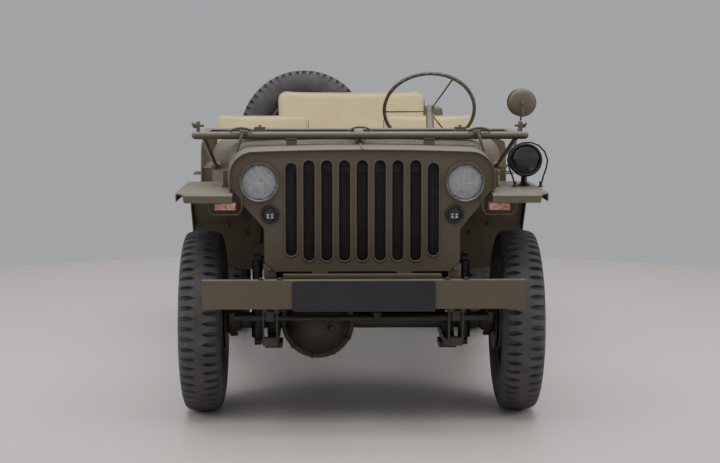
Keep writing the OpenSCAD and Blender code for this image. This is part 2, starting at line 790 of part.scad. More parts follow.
module scuttle() {
    inset = sheet;
    stations = [[firewall_v, hood_rear_w / 2, scuttle_z], [dash_v, dash_half, scuttle_z]];
    dash_low = floor_z + 295;
    color(olive) {
        arched_sheet(
            [for (s = stations) hood_arch(s[1], seam_z, s[2], 0)],
            [for (s = stations) hood_arch(s[1], seam_z, s[2], inset)],
            [for (s = stations) s[0]]);
        // Firewall
        upright(firewall_v + 3, sheet) {
            polygon(hood_arch(hood_rear_w / 2 + 0.9, seam_z, scuttle_z, inset - 1));
            translate([-inside_x(firewall_v), floor_z + 190])
                square([2 * inside_x(firewall_v), seam_z - floor_z - 180]);
        }
        // Dashboard
        upright(dash_v - sheet - 3, sheet) intersection() {
            polygon(hood_arch(dash_half - 2.4, dash_low, scuttle_z, inset - 1));
            union() {
                translate([-dash_half, seam_z]) square([2 * dash_half, 400]);
                translate([8 - dash_half, seam_z - 6]) square([2 * dash_half - 16, 10]);
            }
        }
        // Pivots of the windscreen
        both_sides() {
            across(leg_x - 28, pivot_v, pivot_z) cylinder(h = 27 - leg_d / 2 - gap, r = 15);
            across(leg_x - 28, pivot_v, pivot_z) cylinder(h = 28 + leg_d / 2 + 8, r = 7.5);
        }
    }
}

module grille_outline() {
    under = hood_sheet + gap;
    top = hood_z - under;
    low = frame_top + 26;
    half = hood_nose_w / 2 - under;
    difference() {
        union() {
            intersection() {
                polygon(arch(half, marker_z, top, hood_shoulder - under, hood_crown));
                polygon([[-half, marker_z + 100], [-half, top], [half, top], [half, marker_z + 100],
                    [apron_x + 4, marker_z - 56], [-apron_x - 4, marker_z - 56]]);
            }
            polygon([[-apron_x - 4, marker_z - 50], [-apron_x - 4, low + 40], [-apron_x + 36, low],
                [apron_x - 36, low], [apron_x + 4, low + 40], [apron_x + 4, marker_z - 50]]);
            polygon([[-half, marker_z + 100], [-apron_x - 4, marker_z - 56], [apron_x + 4, marker_z - 56],
                [half, marker_z + 100]]);
        }
        for (n = [0 : slot_count - 1]) {
            x = (n - (slot_count - 1) / 2) * slot_pitch;
            outermost = n == 0 || n == slot_count - 1;
            slot_low = low + (outermost ? 56 : 37);
            slot_top = top - (outermost ? 46 : 36);
            translate([x - slot_w / 2, slot_low + slot_w / 2]) square([slot_w, slot_top - slot_low - slot_w]);
            for (z = [slot_low + slot_w / 2, slot_top - slot_w / 2]) translate([x, z]) circle(d = slot_w);
        }
        for (side = [-1, 1]) {
            translate([side * lamp_x, lamp_z]) circle(r = lamp_r + gap);
            translate([side * marker_x, marker_z]) circle(r = marker_r + gap);
        }
    }
}

module grille_panel() {
    color(olive) {
        upright(grille_v, sheet) grille_outline();
        // Feet on the front cross member
        for (x = [-160, 160])
            block([x - 30, grille_v, frame_top], [x + 30, -240 - 60, frame_top + 4]);
        for (x = [-160, 160])
            block([x - 30, grille_v, frame_top], [x + 30, grille_v + sheet, frame_top + 40]);
    }
}

module headlamps() {
    color([0.75, 0.76, 0.78]) both_sides()
        translate(at(lamp_x, grille_v - 14, lamp_z)) rotate([-90, 0, 0]) {
            cylinder(h = 40, r = lamp_r);
            translate([0, 0, 40]) cylinder(h = 34, r1 = lamp_r, r2 = 50);
        }
}

module marker_lamps() {
    color(black) both_sides()
        translate(at(marker_x, grille_v - 10, marker_z)) rotate([-90, 0, 0]) cylinder(h = 60, r = marker_r);
}

// Wing top seen from the side, as [v, z]
wing_line = concat([[tip_v, wing_z - 34]], [[tip_v + 3, wing_z - 8], [tip_v + 12, wing_z]],
    [[250, wing_z]], [[300, wing_z - 12]], [[firewall_v - 8, floor_z - 20]]);

module front_wing() {
    inner = hood_nose_w / 2 - 8;
    // Top, bent down over the rear of the wheel
    difference() {
        sideways(apron_x, half_wings - apron_x) polygon(strip(wing_line, -sheet));
        block([0, grille_v - 200, 0], [inner - 6, 2000, 2000]);
        // Rounded outer corner at the front
        translate(at(half_wings - 60, tip_v + 60, 0)) difference() {
            translate([0, -70, 0]) cube([70, 70, 2000]);
            cylinder(h = 2000, r = 60);
        }
    }
    // Skirt along the outer edge
    intersection() {
        sideways(half_wings - sheet, sheet) polygon(strip(wing_line, -32));
        block([0, tip_v + 60, 0], [2000, 2000, 2000]);
    }
    // Inner apron
    upright(grille_v + sheet + gap, firewall_v - grille_v - sheet - 9)
        polygon(strip([[inner, wing_z - sheet], [apron_x, marker_z - 56], [apron_x, frame_top + gap]], -sheet));
    // Splash wall behind the wheel
    intersection() {
        upright(tyre_d / 2 + 90, 4)
            polygon([[frame_w / 2 + 1, frame_top - 60], [frame_w / 2 + 1, frame_top + 4], [apron_x - 1, frame_top + 4],
                [apron_x - 1, marker_z - 56], [inner - 1, wing_z - 6],
                [half_wings - 3, wing_z - 6], [half_wings - 3, frame_top - 60]]);
        sideways(apron_x, half_wings - apron_x)
            polygon(concat([for (p = wing_line) p - [0, 3]], [[firewall_v - 8, 0], [tip_v, 0]]));
    }
}

module front_wings() {
    color(olive) both_sides() front_wing();
}

module signal_lamps() {
    x = 515;
    color([0.75, 0.35, 0.3]) both_sides() {
        block([x - 44, tip_v + 34, wing_z - 68], [x + 44, tip_v + 84, wing_z - 34]);
        block([x - 12, tip_v + 50, wing_z - 34], [x + 12, tip_v + 54, wing_z - sheet]);
    }
}

module blackout_lamp() {
    x = 650;
    z = wing_z + 105;
    r = 63;
    wire = 8;
    color(black) {
        translate(at(x, -45, z)) rotate([-90, 0, 0]) {
            cylinder(h = 60, r = r);
            translate([0, 0, 60]) cylinder(h = 34, r1 = r, r2 = 30);
        }
        translate(at(x, 0, wing_z)) cylinder(h = 60, r = 12);
        translate(at(x, 0, wing_z)) cylinder(h = 6, r = 26);
        // Wire guard
        guard = [[-55, 0], [-80, 90], [-66, 140], [-30, 170], [30, 170], [66, 140], [80, 90], [55, 0]];
        tube_run([for (p = guard) at(x + p.x * 0.6, -75, wing_z + p.y + gap)], wire);
    }
}

module tail_lamps() {
    color(black) both_sides()
        translate(at(half_body - 90, tail_v, floor_z + 60)) rotate([-90, 0, 0]) cylinder(h = 50, r = 40);
}

// Children with their +X standing square out of the left body side, at the scuttle
module on_side(v, z) {
    taper = atan((dash_half - hood_rear_w / 2) / scuttle_d);
    translate(at(lookup(v, side_plan), v, z)) rotate([0, 0, -taper]) children();
}

module side_mirror() {
    color(black) {
        on_side(pivot_v + 70, seam_z - 20) translate([0, -14, -18]) cube([6, 28, 36]);
        foot = at(lookup(pivot_v + 70, side_plan) + 8, pivot_v + 70, seam_z - 20);
        tube_run([foot, at(690, pivot_v + 60, seam_z + 40), at(730, pivot_v + 24, hood_z + 100)], 9);
        translate(at(730, pivot_v + 10, hood_z + 148)) rotate([-90, 0, 0]) cylinder(h = 14, r = 62);
    }
}

module body_handles() {
    color(olive) both_sides() for (v = [quarter_v + 50, tail_v - 150]) {
        z = floor_z + 240;
        out = half_body + 33;
        for (end = [0, 120]) bar(at(half_body, v + end, z), at(out, v + end, z), 10);
        bar(at(out, v - 5, z), at(out, v + 125, z), 10);
    }
}

// ---------- seats ----------

// Foot and head of a front seat's back tubes, as [v, z]
back_foot = [tip_v0 + 390, seat_z - 30];
back_head = [tip_v0 + 470, floor_z + 500];

// A back cushion in front of tubes that run from foot to head
module back_cushion(x, width, foot, head, low, high, t) {
    along = unit(head - foot);
    out = turned(along) * (seat_tube / 2 + gap);
    sideways(x - width / 2, width)
        polygon(strip([foot + along * low + out, head + along * high + out], t));
}

module seat_frame(x) {
    half = (seat_w - seat_tube) / 2;
    front_z = seat_z - gap - seat_tube / 2 - 6;
    for (side = [-half, half]) {
        across(x + side - seat_tube / 2 - 1, tip_v0, tip_z0) cylinder(h = seat_tube + 2, r = 14);
        tube_run([at(x + side, tip_v0, tip_z0), at(x + side, tip_v0, front_z),
            at(x + side, back_foot.x, back_foot.y), at(x + side, back_head.x, back_head.y)], seat_tube);
        bar(at(x + side, tip_v0 + 340, floor_z + gap), at(x + side, tip_v0 + 340, seat_z - 33), seat_tube - 2);
    }
    // Crossbar under the head of the back, thinner than the sides it runs into
    cross = back_head - 16 * unit(back_head - back_foot);
    bar(at(x - half + 2, cross.x, cross.y), at(x + half - 2, cross.x, cross.y), seat_tube - 6);
    // Seat pan
    block([x - half - 3, tip_v0 + 4, seat_z - 22], [x + half + 3, tip_v0 + 366, seat_z - gap]);
}

module seat_cushions(x) {
    block([x - seat_w / 2 + 2, tip_v0 - 6, seat_z], [x + seat_w / 2 - 2, tip_v0 + 362, seat_z + 80]);
    back_cushion(x, seat_w, back_foot, back_head, 150, 22, 58);
}

module driver_seat_frame() {
    color(olive) difference() {
        seat_frame(driver_x);
        across(0, tip_v0, tip_z0) cylinder(h = body_w, r = 5);
    }
    color(olive) for (side = [-1, 1])
        block([driver_x + side * (seat_w - seat_tube) / 2 - 15, tip_v0 - 15, floor_z],
            [driver_x + side * (seat_w - seat_tube) / 2 + 15, tip_v0 + 15, tip_z0 - 8]);
}

module passenger_seat_frame() {
    color(olive) difference() {
        seat_frame(passenger_x);
        across(-body_w, tip_v0, tip_z0) cylinder(h = body_w, r = 5 + gap);
    }
}

module driver_seat_cushions() color(tan_cloth) seat_cushions(driver_x);
module passenger_seat_cushions() color(tan_cloth) seat_cushions(passenger_x);

rear_v = wheelbase - 70;
rear_seat_z = floor_z + 150;
rear_foot = [rear_v + 390, rear_seat_z - 20];
rear_head = [rear_v + 476, floor_z + 590];

module rear_seat_frame() {
    half = rear_seat_w / 2 - seat_tube;
    color(olive) {
        for (side = [-half, half]) {
            tube_run([at(side, rear_v, floor_z + gap), at(side, rear_v, rear_seat_z - 20),
                at(side, rear_foot.x, rear_foot.y), at(side, rear_head.x, rear_head.y)], seat_tube);
            bar(at(side, rear_v + 340, floor_z + gap), at(side, rear_v + 340, rear_seat_z - 23), seat_tube - 2);
        }
        cross = rear_head - 16 * unit(rear_head - rear_foot);
        bar(at(-half + 2, cross.x, cross.y), at(half - 2, cross.x, cross.y), seat_tube - 6);
        block([-half - 3, rear_v + 4, rear_seat_z - 14], [half + 3, rear_v + 370, rear_seat_z - gap]);
    }
}

module rear_seat_cushions() {
    color(tan_cloth) {
        block([-rear_seat_w / 2, rear_v - 10, rear_seat_z], [rear_seat_w / 2, rear_v + 364, rear_seat_z + 90]);
        back_cushion(0, rear_seat_w, rear_foot, rear_head, 130, 30, 62);
    }
}

// ---------- controls ----------

// +Z along the steering column, from the middle of the steering wheel
module column() {
    translate(at(steer_x, wheel_v, steer_z)) rotate([column_a - 90, 0, -column_yaw]) children();
}

column_l = 935;

module steering_column() {
    color(dark_olive) {
        column() {
            translate([0, 0, -column_l]) cylinder(h = column_l - 40, r = column_r);
            translate([0, 0, -60]) cylinder(h = 74, r = 9);
        }
        block([rail_x - rail_w / 2 + 8, wheel_v - column_l * cos(column_a) - 40, frame_top],
            [rail_x + rail_w / 2 - 10, wheel_v - column_l * cos(column_a) + 50, frame_top + 110]);
        // Hanger under the dashboard
        block([steer_x - 10, dash_v - 12, steer_z - (wheel_v - dash_v) * tan(column_a) + 6],
            [steer_x + 10, dash_v - 8, seam_z + 6]);
    }
}

module steering_wheel() {
    rim = 9;
    color(black) column() {
        rotate_extrude() translate([steering_d / 2 - rim, 0]) circle(r = rim);
        difference() {
            translate([0, 0, -32]) cylinder(h = 50, r = 26);
            translate([0, 0, -40]) cylinder(h = 55, r = 9 + gap);
        }
        for (a = [90, 210, 330]) rotate([0, 0, a])
            bar([20, 0, -14], [steering_d / 2 - rim, 0, 0], 9);
    }
}

module pedals_and_levers() {
    toe_v = firewall_v + 130;
    color(black) {
        // Clutch and brake
        for (x = [270, 440]) {
            block([x - 36, toe_v + 30, floor_z + 130], [x + 36, toe_v + 38, floor_z + 190]);
            bar(at(x, toe_v + 32, floor_z + 150), at(x, toe_v - 29.5, floor_z + 110.5), 14);
        }
        block([170, toe_v + 52, floor_z + 30], [206, toe_v + 60, floor_z + 110]);
        bar(at(188, toe_v + 56, floor_z + 60), at(188, toe_v + 28.4, floor_z + 54.2), 12);
        // Gear lever and the two levers of the transfer case
        for (lever = [[10, 960, 1120, 340], [-70, 1010, 1080, 250], [-120, 1010, 1090, 240]]) {
            translate(at(lever[0], lever[1], floor_z)) cylinder(h = 24, r1 = 34, r2 = 14);
            bar(at(lever[0], lever[1], floor_z + 10), at(lever[0], lever[2], floor_z + lever[3]), 12);
            translate(at(lever[0], lever[2], floor_z + lever[3])) sphere(r = 19);
        }
    }
}

// ---------- windscreen ----------

// A round bar with round ends along X
module capped_bar(half, d) {
    rotate([0, 90, 0]) translate([0, 0, -half]) rotate_extrude() {
        intersection() {
            union() {
                translate([0, d / 2]) square([d / 2, 2 * half - d]);
                for (z = [d / 2, 2 * half - d / 2]) translate([0, z]) circle(d = d);
            }
            translate([0, -1]) square([d, 2 * half + 2]);
        }
    }
}

rail_v = pivot_v - screen_h;
frame_half = screen_w / 2 - 19;
glass_low = hood_z + rest_h + 6;
frame_t = 16;
panel_v = firewall_v + 20;          // lower edge of the folded frame
glass_v0 = rail_v + 46;
glass_v1 = panel_v - 150;
glass_t = 6;
post_w = 34;

module windscreen_frame() {
    color(olive) difference() {
        union() {
            translate(at(0, rail_v, screen_z)) capped_bar(screen_w / 2, screen_tube);
            difference() {
                block([-frame_half, rail_v, glass_low], [frame_half, panel_v, glass_low + frame_t]);
                for (side = [[-frame_half + post_w, -post_w / 2], [post_w / 2, frame_half - post_w]])
                    block([side[0], glass_v0, 0], [side[1], glass_v1, 2000]);
            }
            both_sides() {
                // Leg down to the pivot
                bar(at(leg_x, rail_v + 30, glass_low - 1), at(leg_x, pivot_v, pivot_z), leg_d);
                across(leg_x - leg_d / 2 - 1, pivot_v, pivot_z) cylinder(h = leg_d + 2, r = 17);
                // Wing-nut arms
                block([frame_half - 3, rail_v + 120, glass_low], [frame_half + 9, rail_v + 180, glass_low + 60]);
                // Wiper boxes
                block([378, rail_v + 24, glass_low + frame_t], [422, rail_v + 74, glass_low + frame_t + 26]);
            }
        }
        both_sides() across(leg_x - leg_d, pivot_v, pivot_z) cylinder(h = 2 * leg_d, r = 7.5 + gap);
    }
}

module windscreen_glass() {
    z = glass_low + (frame_t - glass_t) / 2;
    color([0.75, 0.85, 0.85, 0.5]) both_sides()
        block([post_w / 2, glass_v0, z], [frame_half - post_w, glass_v1, z + glass_t]);
}

chassis_frame();
front_bumper();
number_plate();
rear_bumperettes();
tow_hitch();
body_floor();
wheel_boxes();
body_side_left();
body_side_right();
rear_panel();
scuttle();
hood();
hood_fittings();
grille_panel();
front_wings();
radiator();
engine();
propeller_shafts();
front_axle();
rear_axle();
leaf_springs();
shock_absorbers();
exhaust();
fuel_tank();
driver_seat_frame();
passenger_seat_frame();
rear_seat_frame();
driver_seat_cushions();
passenger_seat_cushions();
rear_seat_cushions();
headlamps();
marker_lamps();
blackout_lamp();
signal_lamps();
tail_lamps();
side_mirror();
body_handles();
steering_column();
steering_wheel();
pedals_and_levers();
windscreen_frame();
windscreen_glass();
jerry_can();
knuckle_left();
knuckle_right();
bell_crank();
track_rods();
front_left_tyre();
front_left_wheel();
front_right_tyre();
front_right_wheel();
rear_left_tyre();
rear_left_wheel();
rear_right_tyre();
rear_right_wheel();
spare_tyre();
spare_wheel();
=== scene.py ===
import math

import bmesh
import bpy
from mathutils import Matrix, Vector
from mathutils.bvhtree import BVHTree


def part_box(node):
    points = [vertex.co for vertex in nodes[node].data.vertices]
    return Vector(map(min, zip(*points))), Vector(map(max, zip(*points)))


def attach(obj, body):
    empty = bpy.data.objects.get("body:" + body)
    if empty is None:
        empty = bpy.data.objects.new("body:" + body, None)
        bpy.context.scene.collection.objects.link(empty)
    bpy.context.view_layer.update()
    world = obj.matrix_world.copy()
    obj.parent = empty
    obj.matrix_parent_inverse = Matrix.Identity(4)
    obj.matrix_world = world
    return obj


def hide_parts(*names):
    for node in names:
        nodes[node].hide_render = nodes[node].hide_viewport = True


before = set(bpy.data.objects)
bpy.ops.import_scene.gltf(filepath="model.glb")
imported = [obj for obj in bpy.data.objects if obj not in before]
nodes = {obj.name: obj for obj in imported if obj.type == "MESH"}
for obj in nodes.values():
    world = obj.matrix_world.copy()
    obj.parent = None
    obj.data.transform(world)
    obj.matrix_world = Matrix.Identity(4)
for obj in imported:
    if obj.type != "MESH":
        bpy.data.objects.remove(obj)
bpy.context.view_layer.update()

# ----------------------------------------
# Studio: a pale round floor, a soft overhead box, two side boxes and the
# camera, which stands low in front of the car with a long lens.

floor_mesh = bpy.data.meshes.new("studio_floor")
floor_radius = 3.9
floor_ring = [
    (floor_radius * math.cos(math.tau * i / 96), 0.35 + floor_radius * math.sin(math.tau * i / 96), 0.0)
    for i in range(96)
]
floor_mesh.from_pydata(floor_ring, [], [tuple(range(96))])
studio_floor = bpy.data.objects.new("studio_floor", floor_mesh)
bpy.context.collection.objects.link(studio_floor)
floor_finish = bpy.data.materials.new("pale_floor")
floor_finish.use_nodes = True
floor_shader = floor_finish.node_tree.nodes["Principled BSDF"]
floor_shader.inputs["Base Color"].default_value = (0.66, 0.60, 0.56, 1)
floor_shader.inputs["Roughness"].default_value = 0.42
floor_mesh.materials.append(floor_finish)

studio_air = bpy.data.worlds.new("studio_air")
bpy.context.scene.world = studio_air
studio_air.use_nodes = True
studio_air.node_tree.nodes["Background"].inputs["Color"].default_value = (0.62, 0.63, 0.67, 1)
studio_air.node_tree.nodes["Background"].inputs["Strength"].default_value = 0.68


def soft_box(name, place, aim, width, depth, power):
    light = bpy.data.lights.new(name, "AREA")
    light.shape = "RECTANGLE"
    light.size = width
    light.size_y = depth
    light.energy = power
    lamp = bpy.data.objects.new(name, light)
    lamp.location = place
    lamp.rotation_euler = (Vector(aim) - Vector(place)).to_track_quat("-Z", "Y").to_euler()
    bpy.context.collection.objects.link(lamp)


soft_box("overhead_box", (0.0, -0.2, 4.2), (0.0, 0.0, 0.0), 4.6, 6.0, 230)
soft_box("left_box", (4.6, -2.6, 2.6), (0.0, -0.4, 0.6), 2.4, 2.0, 60)
soft_box("right_box", (-4.6, -2.6, 2.6), (0.0, -0.4, 0.6), 2.4, 2.0, 60)

camera_data = bpy.data.cameras.new("front_camera")
camera_data.lens = 81.5
camera_data.sensor_width = 36
camera_data.clip_end = 60
front_camera = bpy.data.objects.new("front_camera", camera_data)
front_camera.location = (-0.137, -7.532, 1.38)
front_camera.rotation_euler = (math.radians(84.1), 0, math.radians(-1.2))
bpy.context.collection.objects.link(front_camera)
bpy.context.scene.camera = front_camera

# ----------------------------------------
# Sheet-metal body: pressed steel, sprayed in a matt olive-brown enamel that
# has chalked a little and holds dust on its level faces.


def new_group(name, inputs, outputs):
    group = bpy.data.node_groups.new(name, "ShaderNodeTree")
    for label, kind, value in inputs:
        socket = group.interface.new_socket(name=label, in_out="INPUT", socket_type=kind)
        socket.default_value = value
    for label, kind in outputs:
        group.interface.new_socket(name=label, in_out="OUTPUT", socket_type=kind)
    return group, group.nodes.new("NodeGroupInput"), group.nodes.new("NodeGroupOutput")


def add(tree, kind, **values):
    node = tree.nodes.new(kind)
    for key, value in values.items():
        setattr(node, key, value)
    return node


def noise(tree, place, scale, detail=3.0, rough=0.55):
    node = tree.nodes.new("ShaderNodeTexNoise")
    node.inputs["Scale"].default_value = scale
    node.inputs["Detail"].default_value = detail
    node.inputs["Roughness"].default_value = rough
    tree.links.new(place, node.inputs["Vector"])
    return node.outputs["Fac"]


def spread(tree, value, low, high, out_low=0.0, out_high=1.0):
    node = tree.nodes.new("ShaderNodeMapRange")
    node.inputs["From Min"].default_value = low
    node.inputs["From Max"].default_value = high
    node.inputs["To Min"].default_value = out_low
    node.inputs["To Max"].default_value = out_high
    tree.links.new(value, node.inputs["Value"])
    return node.outputs["Result"]


def times(tree, a, b):
    node = add(tree, "ShaderNodeMath", operation="MULTIPLY")
    for slot, value in zip(node.inputs, (a, b)):
        if isinstance(value, (int, float)):
            slot.default_value = value
        else:
            tree.links.new(value, slot)
    return node.outputs[0]


def mixed(tree, amount, a, b):
    node = add(tree, "ShaderNodeMix", data_type="RGBA")
    if isinstance(amount, (int, float)):
        node.inputs[0].default_value = amount
    else:
        tree.links.new(amount, node.inputs[0])
    for slot, value in ((node.inputs[6], a), (node.inputs[7], b)):
        if isinstance(value, tuple):
            slot.default_value = value
        else:
            tree.links.new(value, slot)
    return node.outputs[2]


# Chalking, dust and stone chips for anything painted
enamel, enamel_in, enamel_out = new_group(
    "chalked_enamel",
    [("Paint", "NodeSocketColor", (0.1, 0.09, 0.06, 1)),
     ("Chalk", "NodeSocketColor", (0.2, 0.18, 0.13, 1)),
     ("Dust", "NodeSocketFloat", 0.25),
     ("Grime", "NodeSocketFloat", 0.3)],
    [("Color", "NodeSocketColor"), ("Roughness", "NodeSocketFloat"), ("Height", "NodeSocketFloat")])
where = add(enamel, "ShaderNodeTexCoord").outputs["Object"]
facing = add(enamel, "ShaderNodeSeparateXYZ")
enamel.links.new(add(enamel, "ShaderNodeNewGeometry").outputs["Normal"], facing.inputs[0])
cloudy = noise(enamel, where, 4.0, 4.0)
streaky = noise(enamel, where, 22.0, 5.0, 0.7)
speckle = noise(enamel, where, 160.0, 2.0)
level = spread(enamel, facing.outputs["Z"], 0.25, 0.95)
dust = times(enamel, times(enamel, level, spread(enamel, streaky, 0.25, 0.7)), enamel_in.outputs["Dust"])
faded = spread(enamel, cloudy, 0.3, 0.75, 0.0, 0.16)
toned = mixed(enamel, faded, enamel_in.outputs["Paint"], enamel_in.outputs["Chalk"])
dusted = mixed(enamel, dust, toned, enamel_in.outputs["Chalk"])
low_down = add(enamel, "ShaderNodeSeparateXYZ")
enamel.links.new(where, low_down.inputs[0])
soiled = times(enamel, spread(enamel, low_down.outputs["Z"], 0.95, 0.2), spread(enamel, streaky, 0.35, 0.65))
soil = times(enamel, soiled, enamel_in.outputs["Grime"])
dirty = mixed(enamel, soil, dusted, (0.035, 0.028, 0.02, 1))
enamel.links.new(dirty, enamel_out.inputs["Color"])
enamel.links.new(spread(enamel, streaky, 0.2, 0.8, 0.4, 0.62), enamel_out.inputs["Roughness"])
enamel.links.new(speckle, enamel_out.inputs["Height"])


def shader_of(name, rough=0.5, metal=0.0, **fixed):
    finish = bpy.data.materials.new(name)
    finish.use_nodes = True
    shader = finish.node_tree.nodes["Principled BSDF"]
    shader.inputs["Roughness"].default_value = rough
    shader.inputs["Metallic"].default_value = metal
    for socket, value in fixed.items():
        shader.inputs[socket.replace("_", " ")].default_value = value
    return finish, finish.node_tree, shader


def relief(tree, height, shader, depth, strength=0.3):
    bump = tree.nodes.new("ShaderNodeBump")
    bump.inputs["Distance"].default_value = depth
    bump.inputs["Strength"].default_value = strength
    tree.links.new(height, bump.inputs["Height"])
    tree.links.new(bump.outputs["Normal"], shader.inputs["Normal"])


def enamelled(name, paint, chalk, dust_share, grime_share, depth=0.0004):
    finish, tree, shader = shader_of(name)
    coat = tree.nodes.new("ShaderNodeGroup")
    coat.node_tree = enamel
    coat.inputs["Paint"].default_value = paint
    coat.inputs["Chalk"].default_value = chalk
    coat.inputs["Dust"].default_value = dust_share
    coat.inputs["Grime"].default_value = grime_share
    tree.links.new(coat.outputs["Color"], shader.inputs["Base Color"])
    tree.links.new(coat.outputs["Roughness"], shader.inputs["Roughness"])
    relief(tree, coat.outputs["Height"], shader, depth)
    return finish


olive_enamel = enamelled("olive_enamel", (0.098, 0.080, 0.050, 1), (0.21, 0.19, 0.14, 1), 0.55, 0.25)
chassis_enamel = enamelled("chassis_enamel", (0.050, 0.042, 0.028, 1), (0.11, 0.095, 0.07, 1), 0.5, 0.75,
                           0.0008)
black_enamel = enamelled("black_enamel", (0.012, 0.012, 0.013, 1), (0.06, 0.06, 0.06, 1), 0.3, 0.2)


def finish_nodes(finish, *names):
    for name in names:
        for place in nodes[name].material_slots:
            place.material = finish


finish_nodes(olive_enamel, "body_floor", "wheel_boxes", "body_side_left", "body_side_right", "rear_panel",
             "scuttle", "hood", "grille_panel", "front_wings", "front_bumper", "rear_bumperettes",
             "hood_fittings", "driver_seat_frame", "passenger_seat_frame", "rear_seat_frame", "body_handles",
             "steering_column", "windscreen_frame", "side_mirror", "fuel_tank", "spare_wheel",
             "front_left_wheel", "front_right_wheel", "rear_left_wheel", "rear_right_wheel")
finish_nodes(chassis_enamel, "chassis_frame", "engine", "propeller_shafts", "front_axle", "rear_axle",
             "leaf_springs", "exhaust", "tow_hitch", "knuckle_left", "knuckle_right", "bell_crank",
             "track_rods", "radiator")
finish_nodes(black_enamel, "number_plate", "shock_absorbers", "blackout_lamp", "tail_lamps",
             "pedals_and_levers")

axle_y = sum(p.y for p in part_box("front_left_wheel")) / 2
axle_z = sum(p.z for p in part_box("front_left_wheel")) / 2


def at(x, back, z):
    """A point given by its distance behind the front axle."""
    return Vector((x, axle_y + back, z))


def to_mesh(bm, name):
    bmesh.ops.recalc_face_normals(bm, faces=bm.faces)
    mesh = bpy.data.meshes.new(name)
    bm.to_mesh(mesh)
    bm.free()
    return mesh


def placed(name, bm, body, finish, smooth=40):
    """A finished piece: named, painted, shaded smooth up to an angle and fixed to its body."""
    mesh = to_mesh(bm, name)
    mesh.materials.append(finish)
    piece = bpy.data.objects.new(name, mesh)
    bpy.context.collection.objects.link(piece)
    mesh.shade_smooth()
    bm = bmesh.new()
    bm.from_mesh(mesh)
    for edge in bm.edges:
        if len(edge.link_faces) == 2 and edge.calc_face_angle() > math.radians(smooth):
            edge.smooth = False
    bm.to_mesh(mesh)
    bm.free()
    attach(piece, body)
    return piece


def turn(bm, outline, middle, axis, steps=24):
    """Spins an outline of (radius, along) pairs round an axis; ends at radius 0 are closed."""
    out = Vector(axis).normalized()
    side = out.orthogonal().normalized()
    up = out.cross(side)
    rings = []
    for radius, along in outline:
        centre = Vector(middle) + out * along
        if radius < 1e-6:
            rings.append([bm.verts.new(centre)])
            continue
        rings.append([
            bm.verts.new(centre + (side * math.cos(math.tau * i / steps)
                                   + up * math.sin(math.tau * i / steps)) * radius)
            for i in range(steps)])
    for before, after in zip(rings, rings[1:]):
        for i in range(steps):
            j = (i + 1) % steps
            if len(before) == 1 and len(after) == 1:
                continue
            if len(before) == 1:
                bm.faces.new((before[0], after[i], after[j]))
            elif len(after) == 1:
                bm.faces.new((before[i], after[0], before[j]))
            else:
                bm.faces.new((before[i], after[i], after[j], before[j]))


def skin(bm, rings, closed=False):
    """Joins rings of points one to the next, and caps the ends of an open run."""
    pairs = list(zip(rings, rings[1:]))
    if closed:
        pairs.append((rings[-1], rings[0]))
    for before, after in pairs:
        for i in range(len(before)):
            j = (i + 1) % len(before)
            bm.faces.new((before[i], after[i], after[j], before[j]))
    if not closed:
        bm.faces.new(rings[0])
        bm.faces.new(list(reversed(rings[-1])))


def rod(bm, points, radius, steps=10, closed=False):
    """A round rod bent along points, with flat ends."""
    points = [Vector(p) for p in points]
    rings = []
    last = len(points) - 1
    normal = None
    for k, point in enumerate(points):
        before = points[k - 1] if (k or closed) else point
        after = points[(k + 1) % len(points)] if (k < last or closed) else point
        way = (after - before).normalized()
        normal = way.orthogonal() if normal is None else normal - way * normal.dot(way)
        normal.normalize()
        side = way.cross(normal)
        rings.append([
            bm.verts.new(point + (normal * math.cos(math.tau * i / steps)
                                  + side * math.sin(math.tau * i / steps)) * radius)
            for i in range(steps)])
    skin(bm, rings, closed)


def slab(bm, low, high, edge=0.002):
    """A pressed or cut block with its edges eased."""
    made = bmesh.ops.create_cube(bm, size=1.0)["verts"]
    for vert in made:
        vert.co = Vector(low) + Vector((vert.co[i] + 0.5) * (high[i] - low[i]) for i in range(3))
    edges = {e for v in made for e in v.link_edges}
    if edge:
        bmesh.ops.bevel(bm, geom=list(edges), offset=edge, segments=2, affect="EDGES", profile=0.6)


def bolt(bm, middle, axis, radius=0.008, height=0.005):
    """A hexagon bolt head on a washer."""
    turn(bm, [(0, 0), (radius * 1.5, 0), (radius * 1.5, height * 0.3), (radius, height * 0.3)], middle, axis,
         16)
    turn(bm, [(radius, height * 0.3), (radius, height), (radius * 0.8, height * 1.25), (0, height * 1.25)],
         middle, axis, 6)


# ----------------------------------------
# Tyres: non-directional military cross-ply covers in black rubber. The tread
# is one band with dart-shaped slots cut in from both shoulders, staggered.


def clouded(name, rough, metal, cloud, span, first, second, shine=None, grain=None, **fixed):
    """A finish that drifts between two tones in soft clouds, with dull patches and a grain where given."""
    finish, tree, shader = shader_of(name, rough, metal, **fixed)
    where = add(tree, "ShaderNodeTexCoord").outputs["Object"]
    drift = noise(tree, where, *cloud)
    tone = mixed(tree, spread(tree, drift, *span), (*first, 1), (*second, 1))
    tree.links.new(tone, shader.inputs["Base Color"])
    if shine:
        tree.links.new(spread(tree, drift, 0.3, 0.7, *shine), shader.inputs["Roughness"])
    if grain:
        relief(tree, noise(tree, where, *grain[0]), shader, *grain[1])
    return finish


rubber = clouded("tyre_rubber", 0.72, 0.0, (14.0, 5.0, 0.65), (0.3, 0.75), (0.040, 0.038, 0.039),
                 (0.100, 0.094, 0.091),
                 shine=(0.62, 0.85), grain=((420.0, 2.0), (0.0006, 0.25)))

tyre_radius = (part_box("rear_left_tyre")[1].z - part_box("rear_left_tyre")[0].z) / 2
drawn_radius = 0.359
slots_round = 56
slot_depth = 0.014
slot_half = 0.0105
slot_least = 0.0022
slot_taper = 0.022
rib_half = 0.015
slot_start = 0.0155
shoulder = 0.345
wall_top = 0.325


